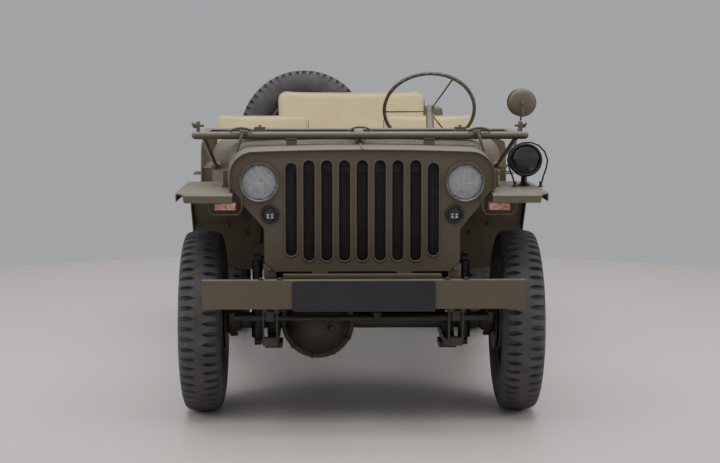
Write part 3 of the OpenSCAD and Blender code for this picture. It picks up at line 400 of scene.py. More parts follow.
def dart(across):
    """Half the width of a slot at a distance from the tread's middle line."""
    if across < rib_half:
        return 0.0
    inner = min(1.0, (across - rib_half) / slot_taper)
    return slot_half * inner ** 0.75


def cover(name, middle, axis, body, node):
    """One tyre: half profile from bead to crown on both sides, with slots sunk in the tread."""
    across = [-0.058, -0.064, -0.074, -0.081, -0.0825, -0.081, -0.077, -0.071, -0.066, -0.060, -0.052,
              -0.043, -0.034, -0.027, -0.020, -0.015, -0.007, 0.0]
    height = [0.204, 0.216, 0.228, 0.250, 0.275, 0.300, 0.320, 0.338, 0.3455, 0.3500, 0.3530,
              0.3555, 0.3570, 0.3578, 0.3584, 0.3588, 0.3590, 0.3590]
    profile = list(zip(across, height)) + [(-a, h) for a, h in reversed(list(zip(across, height))[:-1])]
    scale = tyre_radius / drawn_radius
    out = Vector(axis).normalized()
    side = out.orthogonal().normalized()
    up = out.cross(side)
    pitch = math.tau / slots_round
    bm = bmesh.new()
    columns = []
    for k in range(slots_round):
        for centre, which in ((0.0, -1), (0.5, 1)):
            for place in (-1.0, -0.62, 0.62, 1.0, 2.0):
                column = []
                for a, h in profile:
                    width = max(dart(abs(a)), slot_least) / tyre_radius
                    shift = place * width if abs(place) <= 1 else pitch * 0.25
                    turned = (k + centre) * pitch + shift
                    sunk = 0.0
                    if abs(place) < 1 and a * which > slot_start and h > wall_top:
                        sunk = slot_depth * min(1.0, (abs(a) - slot_start) / 0.006)
                        if h < shoulder:
                            sunk *= 0.6
                    radius = h * scale - sunk
                    column.append(bm.verts.new(
                        Vector(middle) + out * a
                        + (side * math.cos(turned) + up * math.sin(turned)) * radius))
                columns.append(column)
    for i, column in enumerate(columns):
        after = columns[(i + 1) % len(columns)]
        for a, b, c, d in zip(column, column[1:], after[1:], after):
            bm.faces.new((a, b, c, d))
        bm.faces.new((column[0], after[0], after[-1], column[-1]))
    piece = placed(name, bm, body, rubber, 32)
    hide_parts(node)


def middle_of(node):
    low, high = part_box(node)
    return (low + high) / 2


road_wheels = (("front_left", 1), ("front_right", -1), ("rear_left", 1), ("rear_right", -1))
for corner, outward in road_wheels:
    cover(corner + "_cover", middle_of(corner + "_tyre"), (outward, 0, 0), corner + "_wheel_body",
          corner + "_tyre")
cover("spare_cover", middle_of("spare_tyre"), (0, 1, 0), "body", "spare_tyre")

# ----------------------------------------
# Wheel details: each pressed disc is held by five nuts, its two-piece rim by
# a ring of bolts, and the hub by a cap with its own small screws.

bare_steel = clouded("bare_steel", 0.42, 0.9, (90.0, 4.0), (0.35, 0.7), (0.32, 0.31, 0.29),
                     (0.14, 0.12, 0.10),
                     shine=(0.32, 0.6))
wheel_face = 0.0255
nut_circle = 0.070
rim_bolt_circle = 0.150
valve_reach = 0.178


def spaced(middle, out, radius, count, start=0.0):
    """Evenly spaced points on a circle round an axis."""
    side = out.orthogonal().normalized()
    up = out.cross(side)
    turns = [math.tau * k / count + start for k in range(count)]
    return [middle + (side * math.cos(t) + up * math.sin(t)) * radius for t in turns]


def wheel_nuts(name, middle, out, body, spare=False):
    """Everything bolted to one wheel's disc; the spare has no hub and so no hub cap."""
    bm = bmesh.new()
    out = Vector(out)
    face = middle + out * wheel_face
    for spot in spaced(face, out, nut_circle, 5, 0.3):
        bolt(bm, spot, out, 0.0105, 0.014)
    for spot in spaced(face, out, rim_bolt_circle, 8, 0.2):
        bolt(bm, spot, out, 0.0085, 0.008)
    # Raised ring pressed in the disc
    turn(bm, [(0.098, 0), (0.103, 0.004), (0.112, 0.004), (0.117, 0)], face, out, 48)
    # Valve
    stem = face + out * 0.001 + out.orthogonal().normalized() * valve_reach
    turn(bm, [(0.006, 0), (0.006, 0.012), (0.0042, 0.014), (0.0042, 0.026), (0, 0.027)], stem, out, 10)
    if not spare:
        cap = middle + out * 0.062
        turn(bm, [(0.046, -0.006), (0.050, 0.0), (0.050, 0.004), (0.030, 0.008), (0.024, 0.013), (0, 0.014)],
             cap, out, 32)
        for spot in spaced(cap + out * 0.004, out, 0.039, 6):
            bolt(bm, spot, out, 0.0042, 0.003)
    return placed(name, bm, body, olive_enamel, 35)


for corner, outward in road_wheels:
    wheel_nuts(corner + "_nuts", middle_of(corner + "_tyre"), (outward, 0, 0), corner + "_wheel_body")
wheel_nuts("spare_nuts", middle_of("spare_tyre"), (0, 1, 0), "body", spare=True)

# ----------------------------------------
# Grille: one pressed steel plate. Every slot has a rolled lip, and behind the
# slots stand the radiator's cooling fins in a black-painted core.

grille_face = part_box("grille_panel")[0].y
slot_pitch = 0.067
slot_half_w = 0.024
inner_slot = (0.633, 1.019)
outer_slot = (0.652, 1.009)
lip_y = grille_face - 0.0006
lip = bmesh.new()
for k in range(9):
    x = (k - 4) * slot_pitch
    low, high = outer_slot if k in (0, 8) else inner_slot
    ring = []
    for start, middle in ((0.0, high - slot_half_w), (math.pi, low + slot_half_w)):
        for i in range(13):
            turned = start + math.pi * i / 12
            ring.append((x + slot_half_w * math.cos(turned), lip_y, middle + slot_half_w * math.sin(turned)))
    rod(lip, ring, 0.0032, 8, closed=True)
placed("grille_slot_lips", lip, "body", olive_enamel, 60)

core_black = clouded("core_black", 0.55, 0.2, (30.0, 4.0), (0.35, 0.7), (0.008, 0.009, 0.011),
                     (0.03, 0.027, 0.022))
core_low, core_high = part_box("radiator")
fins = bmesh.new()
fin_count = 60
core_half = 0.262
fin_half = 0.0012
core_y = core_low.y - 0.0002
for k in range(fin_count):
    x = core_half * (2 * k / (fin_count - 1) - 1)
    slab(fins, (x - fin_half, core_low.y - 0.010, core_low.z + 0.05),
         (x + fin_half, core_y, core_high.z - 0.05), 0)
for x in (-0.285, 0.285):
    slab(fins, (x - 0.012, core_low.y - 0.012, core_low.z + 0.02), (x + 0.012, core_y, core_high.z - 0.01))
slab(fins, (-0.29, core_low.y - 0.014, core_high.z - 0.05), (0.29, core_y, core_high.z - 0.004), 0.004)
placed("radiator_fins", fins, "body", core_black, 30)

# ----------------------------------------
# Headlamps: a drawn shell behind the grille, a painted rim round a bright bead,
# a glass lens with moulded flutes, tinted pale with mottled painted glints, and a silvered reflector with
# its bulb.

lamp_low, lamp_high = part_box("headlamps")
lamp_front = lamp_low.y
lamp_z = (lamp_low.z + lamp_high.z) / 2
rim_radius = 0.076
lamp_x = lamp_high.x - rim_radius
silver = clouded("lamp_silver", 0.28, 1.0, (40.0, 3.0), (0.3, 0.8), (0.72, 0.72, 0.74), (0.52, 0.52, 0.53))
# Pale milky lens colour with mottled light patches: painted glints and reflections laid over the real
# transmitting glass.
lens_painted_glints = clouded("lens_painted_glints", 0.10, 0.0, (95.0, 3.0), (0.4, 0.8), (0.95, 0.96, 0.98),
                     (0.60, 0.61, 0.63), grain=((95.0, 3.0), (0.006, 1.0)), Transmission_Weight=0.78,
                     IOR=1.46)


def lathed(name, outline, middle, steps, finish, body="body", axis=(0, 1, 0)):
    """A round piece turned from one outline."""
    bm = bmesh.new()
    turn(bm, outline, middle, axis, steps)
    return placed(name, bm, body, finish)


for side, word in ((1, "left"), (-1, "right")):
    spot = Vector((side * lamp_x, lamp_front, lamp_z))
    piece = lathed("headlamp_shell_" + word, [(0.066, 0.012), (0.0735, 0.012), (0.0735, 0.036),
        (0.070, 0.048), (0.058, 0.064), (0.036, 0.073), (0, 0.074)], spot, 48, olive_enamel)
    if side > 0:
        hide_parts("headlamps")
    lathed("headlamp_rim_" + word, [(0.0700, 0.010), (0.0700, 0.003), (0.0712, 0.0008), (0.0728, 0.0),
                                    (0.0750, 0.003), (0.076, 0.008), (0.0755, 0.014), (0.0700, 0.016),
                                    (0.0700, 0.010)], spot, 56, olive_enamel)
    lathed("headlamp_bead_" + word, [(0.0664, 0.007), (0.0668, 0.0035), (0.0684, 0.0018), (0.0700, 0.0035),
                                     (0.0701, 0.007)], spot, 56, silver)
    lathed("headlamp_reflector_" + word, [(0.0655, 0.012), (0.060, 0.020), (0.048, 0.032), (0.030, 0.042),
                                          (0.012, 0.047), (0.012, 0.040), (0.0095, 0.030), (0.006, 0.025),
                                          (0, 0.024)], spot, 48, silver)
    lens = bmesh.new()
    rings = 14
    steps = 48
    outline = [(0.0655 * math.sin(math.pi / 2 * (rings - i) / rings), 0.0035 + 0.009 * (
        1 - math.cos(math.pi / 2 * (rings - i) / rings))) for i in range(rings + 1)]
    turn(lens, [(0.0655, 0.0145)] + outline, spot, (0, 1, 0), steps)
    turn(lens, [(0.0655, 0.0145), (0.040, 0.0105), (0, 0.0085)], spot, (0, 1, 0), steps)
    for vert in lens.verts:
        if vert.co.y < spot.y + 0.0125:
            vert.co.y += 0.0012 * math.cos((vert.co.x - spot.x) * math.tau / 0.011)
    placed("headlamp_lens_" + word, lens, "body", lens_painted_glints)

# ----------------------------------------
# Small lamps: the round night-marker lamps under the headlamps, the red
# signal lamps in steel boxes under the wings, and the pair at the tail.

marker_low, marker_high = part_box("marker_lamps")
marker_radius = 0.035
marker_x = marker_high.x - marker_radius
marker_z = (marker_low.z + marker_high.z) / 2
dark_lens = clouded("dark_lens", 0.18, 0.0, (70.0, 3.0), (0.35, 0.75), (0.010, 0.011, 0.014),
                    (0.045, 0.042, 0.04), Coat_Weight=0.5)
pink_lens = clouded("red_signal_lens", 0.24, 0.0, (60.0, 3.0), (0.35, 0.7), (0.80, 0.42, 0.36),
                    (0.45, 0.12, 0.10), Coat_Weight=0.6)

marker = bmesh.new()
cat_eye = bmesh.new()
for side in (-1, 1):
    spot = Vector((side * marker_x, marker_low.y, marker_z))
    turn(marker, [(0.0255, 0.012), (0.0255, 0.004), (0.028, 0.0), (0.032, 0.0005), (0.035, 0.005),
                  (0.035, 0.046),
                  (0.028, 0.058), (0, 0.060)], spot, (0, 1, 0), 36)
    turn(marker, [(0, 0.006), (0.012, 0.006), (0.0255, 0.010)], spot, (0, 1, 0), 36)
    for lean in (-1, 1):
        for low in (-0.002, -0.012):
            slab(cat_eye, (spot.x + lean * 0.008 - 0.0045, spot.y + 0.003, spot.z + low - 0.002),
                 (spot.x + lean * 0.008 + 0.0045, spot.y + 0.0085, spot.z + low + 0.0045), 0.0012)
marker_piece = placed("marker_lamp_shells", marker, "body", dark_lens)
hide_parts("marker_lamps")
placed("marker_lamp_eyes", cat_eye, "body", silver)

signal_low, signal_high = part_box("signal_lamps")
signal_width = 0.088
signal_height = 0.034
box_shell = bmesh.new()
signal_face = bmesh.new()
for side in (-1, 1):
    x0, x1 = sorted((side * signal_high.x, side * (signal_high.x - signal_width)))
    z1 = signal_low.z + signal_height
    slab(box_shell, (x0 + 0.003, signal_low.y + 0.010, signal_low.z), (x1 - 0.003, signal_low.y + 0.050, z1),
         0.004)
    slab(box_shell, ((x0 + x1) / 2 - 0.012, signal_low.y + 0.016, z1 - 0.002),
         ((x0 + x1) / 2 + 0.012, signal_low.y + 0.020, signal_high.z), 0.0008)
    guard = [(x0 - 0.018, z1 + 0.026), (x0 - 0.018, z1 - 0.026), (x0 - 0.004, signal_low.z - 0.013),
             (x1 + 0.004, signal_low.z - 0.013), (x1 + 0.018, z1 - 0.026), (x1 + 0.018, z1 + 0.026)]
    rod(box_shell, [(x, signal_low.y + 0.012, z) for x, z in guard], 0.0024, 8)
    slab(signal_face, (x0 + 0.006, signal_low.y + 0.002, signal_low.z + 0.005),
         (x1 - 0.006, signal_low.y + 0.013, z1 - 0.004), 0.003)
    for k in range(7):
        x = x0 + 0.014 + (x1 - x0 - 0.028) * k / 6
        slab(signal_face, (x - 0.002, signal_low.y + 0.0005, signal_low.z + 0.008),
             (x + 0.002, signal_low.y + 0.004, z1 - 0.007), 0.0008)
signal_piece = placed("signal_lamp_boxes", box_shell, "body", olive_enamel)
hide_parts("signal_lamps")
placed("signal_lamp_lenses", signal_face, "body", pink_lens)

tail_low, tail_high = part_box("tail_lamps")
tail_inset = 0.04
tail_rims = bmesh.new()
tail_eyes = bmesh.new()
for side in (-1, 1):
    spot = Vector((side * (tail_high.x - tail_inset), tail_high.y, (tail_low.z + tail_high.z) / 2))
    turn(tail_rims, [(0.030, -0.002), (0.030, 0.003), (0.034, 0.005), (0.039, 0.003), (0.0405, -0.004)],
         spot, (0, 1, 0), 36)
    for z in (-0.013, 0.013):
        slab(tail_eyes, (spot.x - 0.019, spot.y - 0.002, spot.z + z - 0.007),
             (spot.x + 0.019, spot.y + 0.003, spot.z + z + 0.007), 0.003)
placed("tail_lamp_rims", tail_rims, "body", olive_enamel)
placed("tail_lamp_lenses", tail_eyes, "body", pink_lens)

# ----------------------------------------
# Blackout driving lamp on the left wing: a black pressed housing on a turned
# foot, a hooded upper half over a dark lens, and a bent wire guard round it.

night = Vector((0.650, axle_y - 0.045, 1.0))
night_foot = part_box("blackout_lamp")[0].z
housing = bmesh.new()
turn(housing, [(0.058, 0.0), (0.063, 0.001), (0.063, 0.040), (0.060, 0.058), (0.050, 0.076), (0.032, 0.089),
               (0, 0.094)],
     night, (0, 1, 0), 48)
turn(housing, [(0.0, 0.0), (0.026, 0.0), (0.026, 0.004), (0.017, 0.010), (0.012, 0.016), (0.012, 0.052)],
     Vector((night.x, axle_y, night_foot)), (0, 0, 1), 28)
hoop = [(-0.050, 0.0), (-0.056, 0.030), (-0.074, 0.078), (-0.079, 0.105), (-0.072, 0.135), (-0.050, 0.160),
        (-0.020, 0.1725),
        (0.012, 0.1735), (0.042, 0.162), (0.066, 0.138), (0.078, 0.105), (0.074, 0.075), (0.062, 0.040),
        (0.052, 0.0)]
rod(housing, [(night.x + 0.006 + x, night.y - 0.020, night_foot + 0.002 + z) for x, z in hoop], 0.0036, 8)
for x in (-0.044, 0.058):
    turn(housing, [(0, 0), (0.010, 0), (0.010, 0.004), (0.006, 0.006), (0.006, 0.022), (0, 0.023)],
         Vector((night.x + x, night.y - 0.020, night_foot)), (0, 0, 1), 14)
night_piece = placed("blackout_lamp_housing", housing, "body", black_enamel)
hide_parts("blackout_lamp")
hooded = bmesh.new()
turn(hooded, [(0.053, -0.001), (0.054, -0.008), (0.058, -0.012), (0.064, -0.010), (0.0665, -0.003),
              (0.066, 0.006),
              (0.0632, 0.008)], night, (0, 1, 0), 48)
turn(hooded, [(0.0632, 0.020), (0.0655, 0.022), (0.0655, 0.028), (0.0632, 0.030)], night, (0, 1, 0), 48)
placed("blackout_lamp_rim", hooded, "body", black_enamel)
visor = bmesh.new()
arc_steps = 20
for k in range(arc_steps):
    turned = math.pi * k / arc_steps
    after = math.pi * (k + 1) / arc_steps
    outer = [(turned, 0.054, -0.002), (after, 0.054, -0.002)]
    inner = [(after, 0.050, -0.024), (turned, 0.050, -0.024)]
    for face, tip in ((outer + inner, []), (inner[::-1], [(0, -0.010, 0.006)])):
        path = [(r * math.cos(a), back, 0.004 + r * 0.92 * math.sin(a)) for a, r, back in face]
        visor.faces.new([visor.verts.new(night + Vector(p)) for p in path + tip])
bmesh.ops.remove_doubles(visor, verts=visor.verts, dist=0.0004)
# The visor gets a lighter grey copy of the black enamel: a painted highlight on the hooded upper half.
visor_painted_highlight = enamelled("visor_painted_highlight", (0.050, 0.050, 0.050, 1), (0.10, 0.10, 0.10, 1), 0.4, 0.1)
placed("blackout_lamp_visor", visor, "body", visor_painted_highlight)
lathed("blackout_lamp_lens", [(0.0535, -0.0015), (0.040, -0.006), (0.020, -0.009), (0, -0.010)], night, 40,
       dark_lens)

# ----------------------------------------
# Hood and windscreen hardware: piano hinge down the hood, rubber-faced rest
# blocks, hold-down catches over the top rail, clamp nuts, wipers and a handle.

hood_low, hood_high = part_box("hood")
rail_y = axle_y + 0.020
hinge = bmesh.new()
hinge_z0 = 1.0585
hinge_z1 = 1.0625
hinge_count = 23
hinge_pitch = 0.0395
knuckle_length = 0.0375
for k in range(hinge_count):
    y0 = hood_low.y + 0.004 + k * hinge_pitch
    z = hinge_z0 + (hinge_z1 - hinge_z0) * k / (hinge_count - 1)
    if y0 + 0.038 > hood_high.y:
        break
    rod(hinge, [(0, y0, z), (0, y0 + knuckle_length, z + 0.00017)], 0.0046, 8)
slab(hinge, (-0.017, hood_low.y + 0.003, hinge_z0 - 0.002), (0.017, hood_low.y + 0.040, hinge_z0 + 0.0012),
     0.0008)
placed("hood_hinge", hinge, "body", olive_enamel)

# Rolled nose edge of the hood
nose_half = 0.408
nose_bend = 0.0898
nose_y = hood_low.y + 0.0025
nose = bmesh.new()
edge = []
for i in range(61):
    x = nose_half * (i / 30 - 1)
    edge.append((x, nose_y, 1.0564 - 0.008 * (x / nose_half) ** 2))
left_turn = []
for i in range(1, 13):
    turned = math.pi / 2 * i / 12
    left_turn.append((nose_half + nose_bend * math.sin(turned), nose_y,
                      1.0484 - nose_bend * (1 - math.cos(turned))))
sides = [(nose_half + nose_bend, nose_y, z) for z in (0.94, 0.92, 0.907)]
right_turn = [(-x, y, z) for x, y, z in reversed(left_turn + sides)]
rod(nose, right_turn + edge + left_turn + sides, 0.0024, 8)
placed("hood_nose_bead", nose, "body", olive_enamel)

# Rubber faces of the rest blocks
rest_block_x = 0.273
pads = bmesh.new()
for side in (-1, 1):
    x = side * rest_block_x
    slab(pads, (x - 0.022, rail_y - 0.027, 1.0795), (x + 0.022, rail_y + 0.026, 1.0845), 0.002)
placed("rest_block_pads", pads, "body", rubber)

# Hold-down catches: a bowed handle hooked on the rail, with its link to an anchor on the hood
rail_middle = 1.0943
rail_tube = 0.015
rail_top = rail_middle + rail_tube
catch_x = 0.462
anchor_y = rail_y - 0.020
catch = bmesh.new()
anchor = bmesh.new()
for side in (-1, 1):
    x = side * catch_x
    bow = []
    for i in range(9):
        t = (i - 4) / 4
        bow.append((x + t * 0.044 + side * 0.010, rail_y - 0.006 - 0.010 * (1 - t * t),
                    rail_top + 0.004 + 0.012 * (1 - t * t)))
    rod(catch, bow, 0.0052, 8)
    slab(catch, (x - 0.016, rail_y - 0.020, rail_top - 0.012), (x + 0.016, rail_y + 0.016, rail_top + 0.006),
         0.004)
    rod(catch, [(x + side * 0.004, rail_y - 0.022, rail_top - 0.006),
                (x + side * 0.013, rail_y - 0.032, rail_top - 0.034),
                (x + side * 0.022, rail_y - 0.030, rail_top - 0.062)], 0.0062, 10)
    rod(anchor, [(x + side * 0.023, rail_y - 0.030, rail_top - 0.064),
                 (x + side * 0.029, rail_y - 0.026, rail_top - 0.092),
                 (x + side * 0.033, anchor_y, 0.998)], 0.0046, 8)
    slab(anchor, (x + side * 0.033 - 0.010, rail_y - 0.036, 0.980),
         (x + side * 0.033 + 0.006, rail_y - 0.004, 1.004), 0.003)
    bolt(anchor, (x + side * 0.040, anchor_y, 0.993), (side, 0, 0.25), 0.005, 0.004)
placed("windscreen_catches", catch, "windscreen", olive_enamel)
placed("catch_anchors", anchor, "body", olive_enamel)

# Wing nuts, wiper motors' levers and the lifting handle
nuts = bmesh.new()
frame_face_z = 1.128
wiper_x = 0.4
for side in (-1, 1):
    hub = Vector((side * 0.660, rail_y + 0.150, frame_face_z))
    turn(nuts, [(0, 0), (0.011, 0), (0.011, 0.008), (0.007, 0.016), (0, 0.017)], hub, (side, 0, 0), 16)
    for way in (-1, 1):
        wing = [hub + Vector((side * 0.008, way * 0.004, 0)),
                hub + Vector((side * 0.013, way * 0.014, 0.004)),
                hub + Vector((side * 0.017, way * 0.022, 0.010))]
        rod(nuts, wing, 0.0038, 8)
    turn(nuts, [(0.005, -0.03), (0.005, 0.0)], hub, (side, 0, 0), 10)
handle = []
for i in range(15):
    t = (i - 7) / 7
    handle.append((0.0 + t * 0.048, rail_y + 0.006, rail_top - 0.003 + 0.021 * (1 - abs(t) ** 3)))
rod(nuts, handle, 0.0042, 8)
for side in (-1, 1):
    pivot = Vector((side * wiper_x, rail_y + 0.048, frame_face_z))
    turn(nuts, [(0.006, -0.004), (0.006, 0.006), (0.003, 0.008), (0, 0.008)], pivot, (0, 0, 1), 12)
    rod(nuts, [pivot + Vector((0, 0, 0.004)), pivot + Vector((0, 0.05, 0.002)),
               pivot + Vector((0, 0.14, -0.010))], 0.0028, 8)
placed("windscreen_hardware", nuts, "windscreen", olive_enamel)

wipers = bmesh.new()
for side in (-1, 1):
    tip = Vector((side * wiper_x, rail_y + 0.188, 1.110))
    slab(wipers, tip - Vector((0.003, 0.095, 0.008)), tip + Vector((0.003, 0.095, 0.006)), 0.001)
placed("wiper_blades", wipers, "windscreen", rubber)

# Glass bedded in a rubber channel
pane_glass = clouded("pane_glass", 0.03, 0.0, (6.0, 4.0), (0.35, 0.75), (0.93, 0.96, 0.95),
                     (0.84, 0.87, 0.85), Transmission_Weight=1.0, IOR=1.45)
finish_nodes(pane_glass, "windscreen_glass")
seal = bmesh.new()
glass_low, glass_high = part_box("windscreen_glass")
for side in (-1, 1):
    x0, x1 = sorted((side * 0.0175, side * glass_high.x))
    for z in (glass_low.z - 0.0025, glass_high.z + 0.0025):
        path = [(x0, glass_low.y, z), (x1, glass_low.y, z), (x1, glass_high.y, z), (x0, glass_high.y, z)]
        rod(seal, path, 0.0034, 8, closed=True)
placed("glass_channel", seal, "windscreen", rubber)

# ----------------------------------------
# Front sheet metal: bolts that hold the straight channel bumper to the frame
# horns, the beam under the grille, and the aprons' bolts behind the wheels.

bumper_low, bumper_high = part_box("front_bumper")
bumper_y = (bumper_low.y + bumper_high.y) / 2
fasteners = bmesh.new()
for side in (-1, 1):
    for x in (0.305, 0.373):
        bolt(fasteners, (side * x, bumper_y, bumper_high.z), (0, 0, 1), 0.0085, 0.007)
    for x in (0.318, 0.360):
        bolt(fasteners, (side * x, bumper_y, bumper_low.z), (0, 0, -1), 0.0085, 0.009)
placed("bumper_bolts", fasteners, "body", chassis_enamel)
beam = bmesh.new()
slab(beam, (-0.300, grille_face - 0.034, 0.5703), (0.300, grille_face - 0.004, 0.5890), 0.005)
for side in (-1, 1):
    slab(beam, (side * 0.350 - 0.025, grille_face + 0.004, 0.5703),
         (side * 0.350 + 0.025, grille_face + 0.040, 0.6240), 0.004)
    bolt(beam, (side * 0.352, grille_face + 0.0035, 0.604), (0, -1, 0), 0.0065, 0.005)
placed("grille_beam", beam, "body", olive_enamel)
apron = bmesh.new()
for side in (-1, 1):
    for x, z in ((0.512, 0.790), (0.555, 0.700), (0.480, 0.665), (0.600, 0.795)):
        bolt(apron, (side * x, axle_y + 0.4487, z), (0, -1, 0), 0.0075, 0.006)
    slab(apron, (side * 0.432 - 0.019, axle_y + 0.443, 0.620),
         (side * 0.432 + 0.019, axle_y + 0.4488, 0.855), 0.002)
placed("apron_bolts", apron, "body", olive_enamel)


# ----------------------------------------
# Gussets: flat steel panels, bolted in to close the engine bay at each side
# between the hood's edge, the wing's slope and the scuttle.

gusset = bmesh.new()


def hood_half(back):
    """Half the hood's width at a distance behind the front axle, less the gusset's clearance."""
    return 0.5 + 0.056 * (back + 0.342) / 0.922 - 0.0055


for side in (-1, 1):
    outline = [(0.240, 0.8965), (0.297, 0.8850), (0.5785, 0.5840), (0.5785, 0.9030), (0.240, 0.9030)]
    leaves = []
    for thick in (0.0, 0.003):
        leaf = []
        for back, z in outline:
            leaf.append(gusset.verts.new(at(side * (hood_half(back) - thick), back, z)))
        leaves.append(leaf)
    skin(gusset, leaves)
    for back, z in ((0.34, 0.885), (0.45, 0.885), (0.555, 0.860), (0.555, 0.760), (0.555, 0.660)):
        bolt(gusset, at(side * hood_half(back), back, z), (side, 0, 0), 0.006, 0.004)
placed("engine_bay_gussets", gusset, "body", olive_enamel)

# ----------------------------------------
# Number plate: a blank black sheet on the bumper's face, with a thin raised
# border pressed round its edge.

gloss_black = clouded("plate_black", 0.3, 0.0, (8.0, 4.0), (0.35, 0.75), (0.010, 0.010, 0.012),
                      (0.022, 0.022, 0.024), Coat_Weight=0.3)
finish_nodes(gloss_black, "number_plate")
plate_low, plate_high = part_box("number_plate")
border_inset = 0.006
border_y = plate_low.y + 0.0016
x0, x1 = plate_low.x + border_inset, plate_high.x - border_inset
z0, z1 = plate_low.z + border_inset, plate_high.z - border_inset
border = bmesh.new()
rod(border, [(x0, border_y, z0), (x1, border_y, z0), (x1, border_y, z1), (x0, border_y, z1)], 0.0016, 8,
    closed=True)
placed("plate_border", border, "body", gloss_black)

# ----------------------------------------
# Seats: foam pads in tan cotton duck, boxed, with welted seams. Each pad is
# blown up by a cloth run from a slightly smaller block, then stitched round.

weave, weave_in, weave_out = new_group(
    "duck_weave",
    [("Cloth", "NodeSocketColor", (0.5, 0.45, 0.25, 1)), ("Shade", "NodeSocketColor", (0.36, 0.32, 0.17, 1)),
     ("Pitch", "NodeSocketFloat", 1.0)],
    [("Color", "NodeSocketColor"), ("Roughness", "NodeSocketFloat"), ("Height", "NodeSocketFloat")])
weave_where = add(weave, "ShaderNodeTexCoord").outputs["Object"]
threads = []
for direction in ("X", "Y", "Z"):
    wave = add(weave, "ShaderNodeTexWave", wave_type="BANDS", bands_direction=direction, wave_profile="SIN")
    wave.inputs["Scale"].default_value = 150.0
    wave.inputs["Distortion"].default_value = 0.5
    wave.inputs["Detail"].default_value = 1.0
    weave.links.new(weave_where, wave.inputs["Vector"])
    threads.append(wave.outputs["Fac"])
crossed = times(weave, times(weave, threads[0], 0.5), threads[1])
both = add(weave, "ShaderNodeMath", operation="ADD")
weave.links.new(crossed, both.inputs[0])
weave.links.new(times(weave, threads[2], 0.4), both.inputs[1])
slub = noise(weave, weave_where, 55.0, 4.0)
soft_fade = noise(weave, weave_where, 5.0, 3.0)
worn_tone = mixed(weave, spread(weave, soft_fade, 0.3, 0.75), weave_in.outputs["Cloth"],
                  weave_in.outputs["Shade"])
flecked = mixed(weave, times(weave, spread(weave, slub, 0.4, 0.75), 0.22), worn_tone, (0.62, 0.56, 0.36, 1))
weave.links.new(flecked, weave_out.inputs["Color"])
weave.links.new(spread(weave, slub, 0.3, 0.7, 0.78, 0.92), weave_out.inputs["Roughness"])
weave.links.new(times(weave, both.outputs[0], weave_in.outputs["Pitch"]), weave_out.inputs["Height"])


def duck(name, cloth, shade, depth):
    finish, tree, shader = shader_of(name, 0.85, 0.0, Sheen_Weight=0.25, Sheen_Roughness=0.5)
    sheet = tree.nodes.new("ShaderNodeGroup")
    sheet.node_tree = weave
    sheet.inputs["Cloth"].default_value = cloth
    sheet.inputs["Shade"].default_value = shade
    tree.links.new(sheet.outputs["Color"], shader.inputs["Base Color"])
    tree.links.new(sheet.outputs["Roughness"], shader.inputs["Roughness"])
    relief(tree, sheet.outputs["Height"], shader, depth, 0.35)
    return finish


tan_duck = duck("tan_duck", (0.66, 0.535, 0.25, 1), (0.55, 0.44, 0.20, 1), 0.0005)
welt_duck = duck("welt_duck", (0.56, 0.46, 0.23, 1), (0.47, 0.38, 0.19, 1), 0.0004)


def round_oblong(half_x, half_y, radius):
    """The outline of a rectangle with round corners, as (x, y) points."""
    points = []
    for cx, cy, start in ((1, 1, 0), (-1, 1, 90), (-1, -1, 180), (1, -1, 270)):
        for i in range(7):
            turned = math.radians(start + 90 * i / 6)
            points.append((cx * (half_x - radius) + radius * math.cos(turned),
                           cy * (half_y - radius) + radius * math.sin(turned)))
    return points


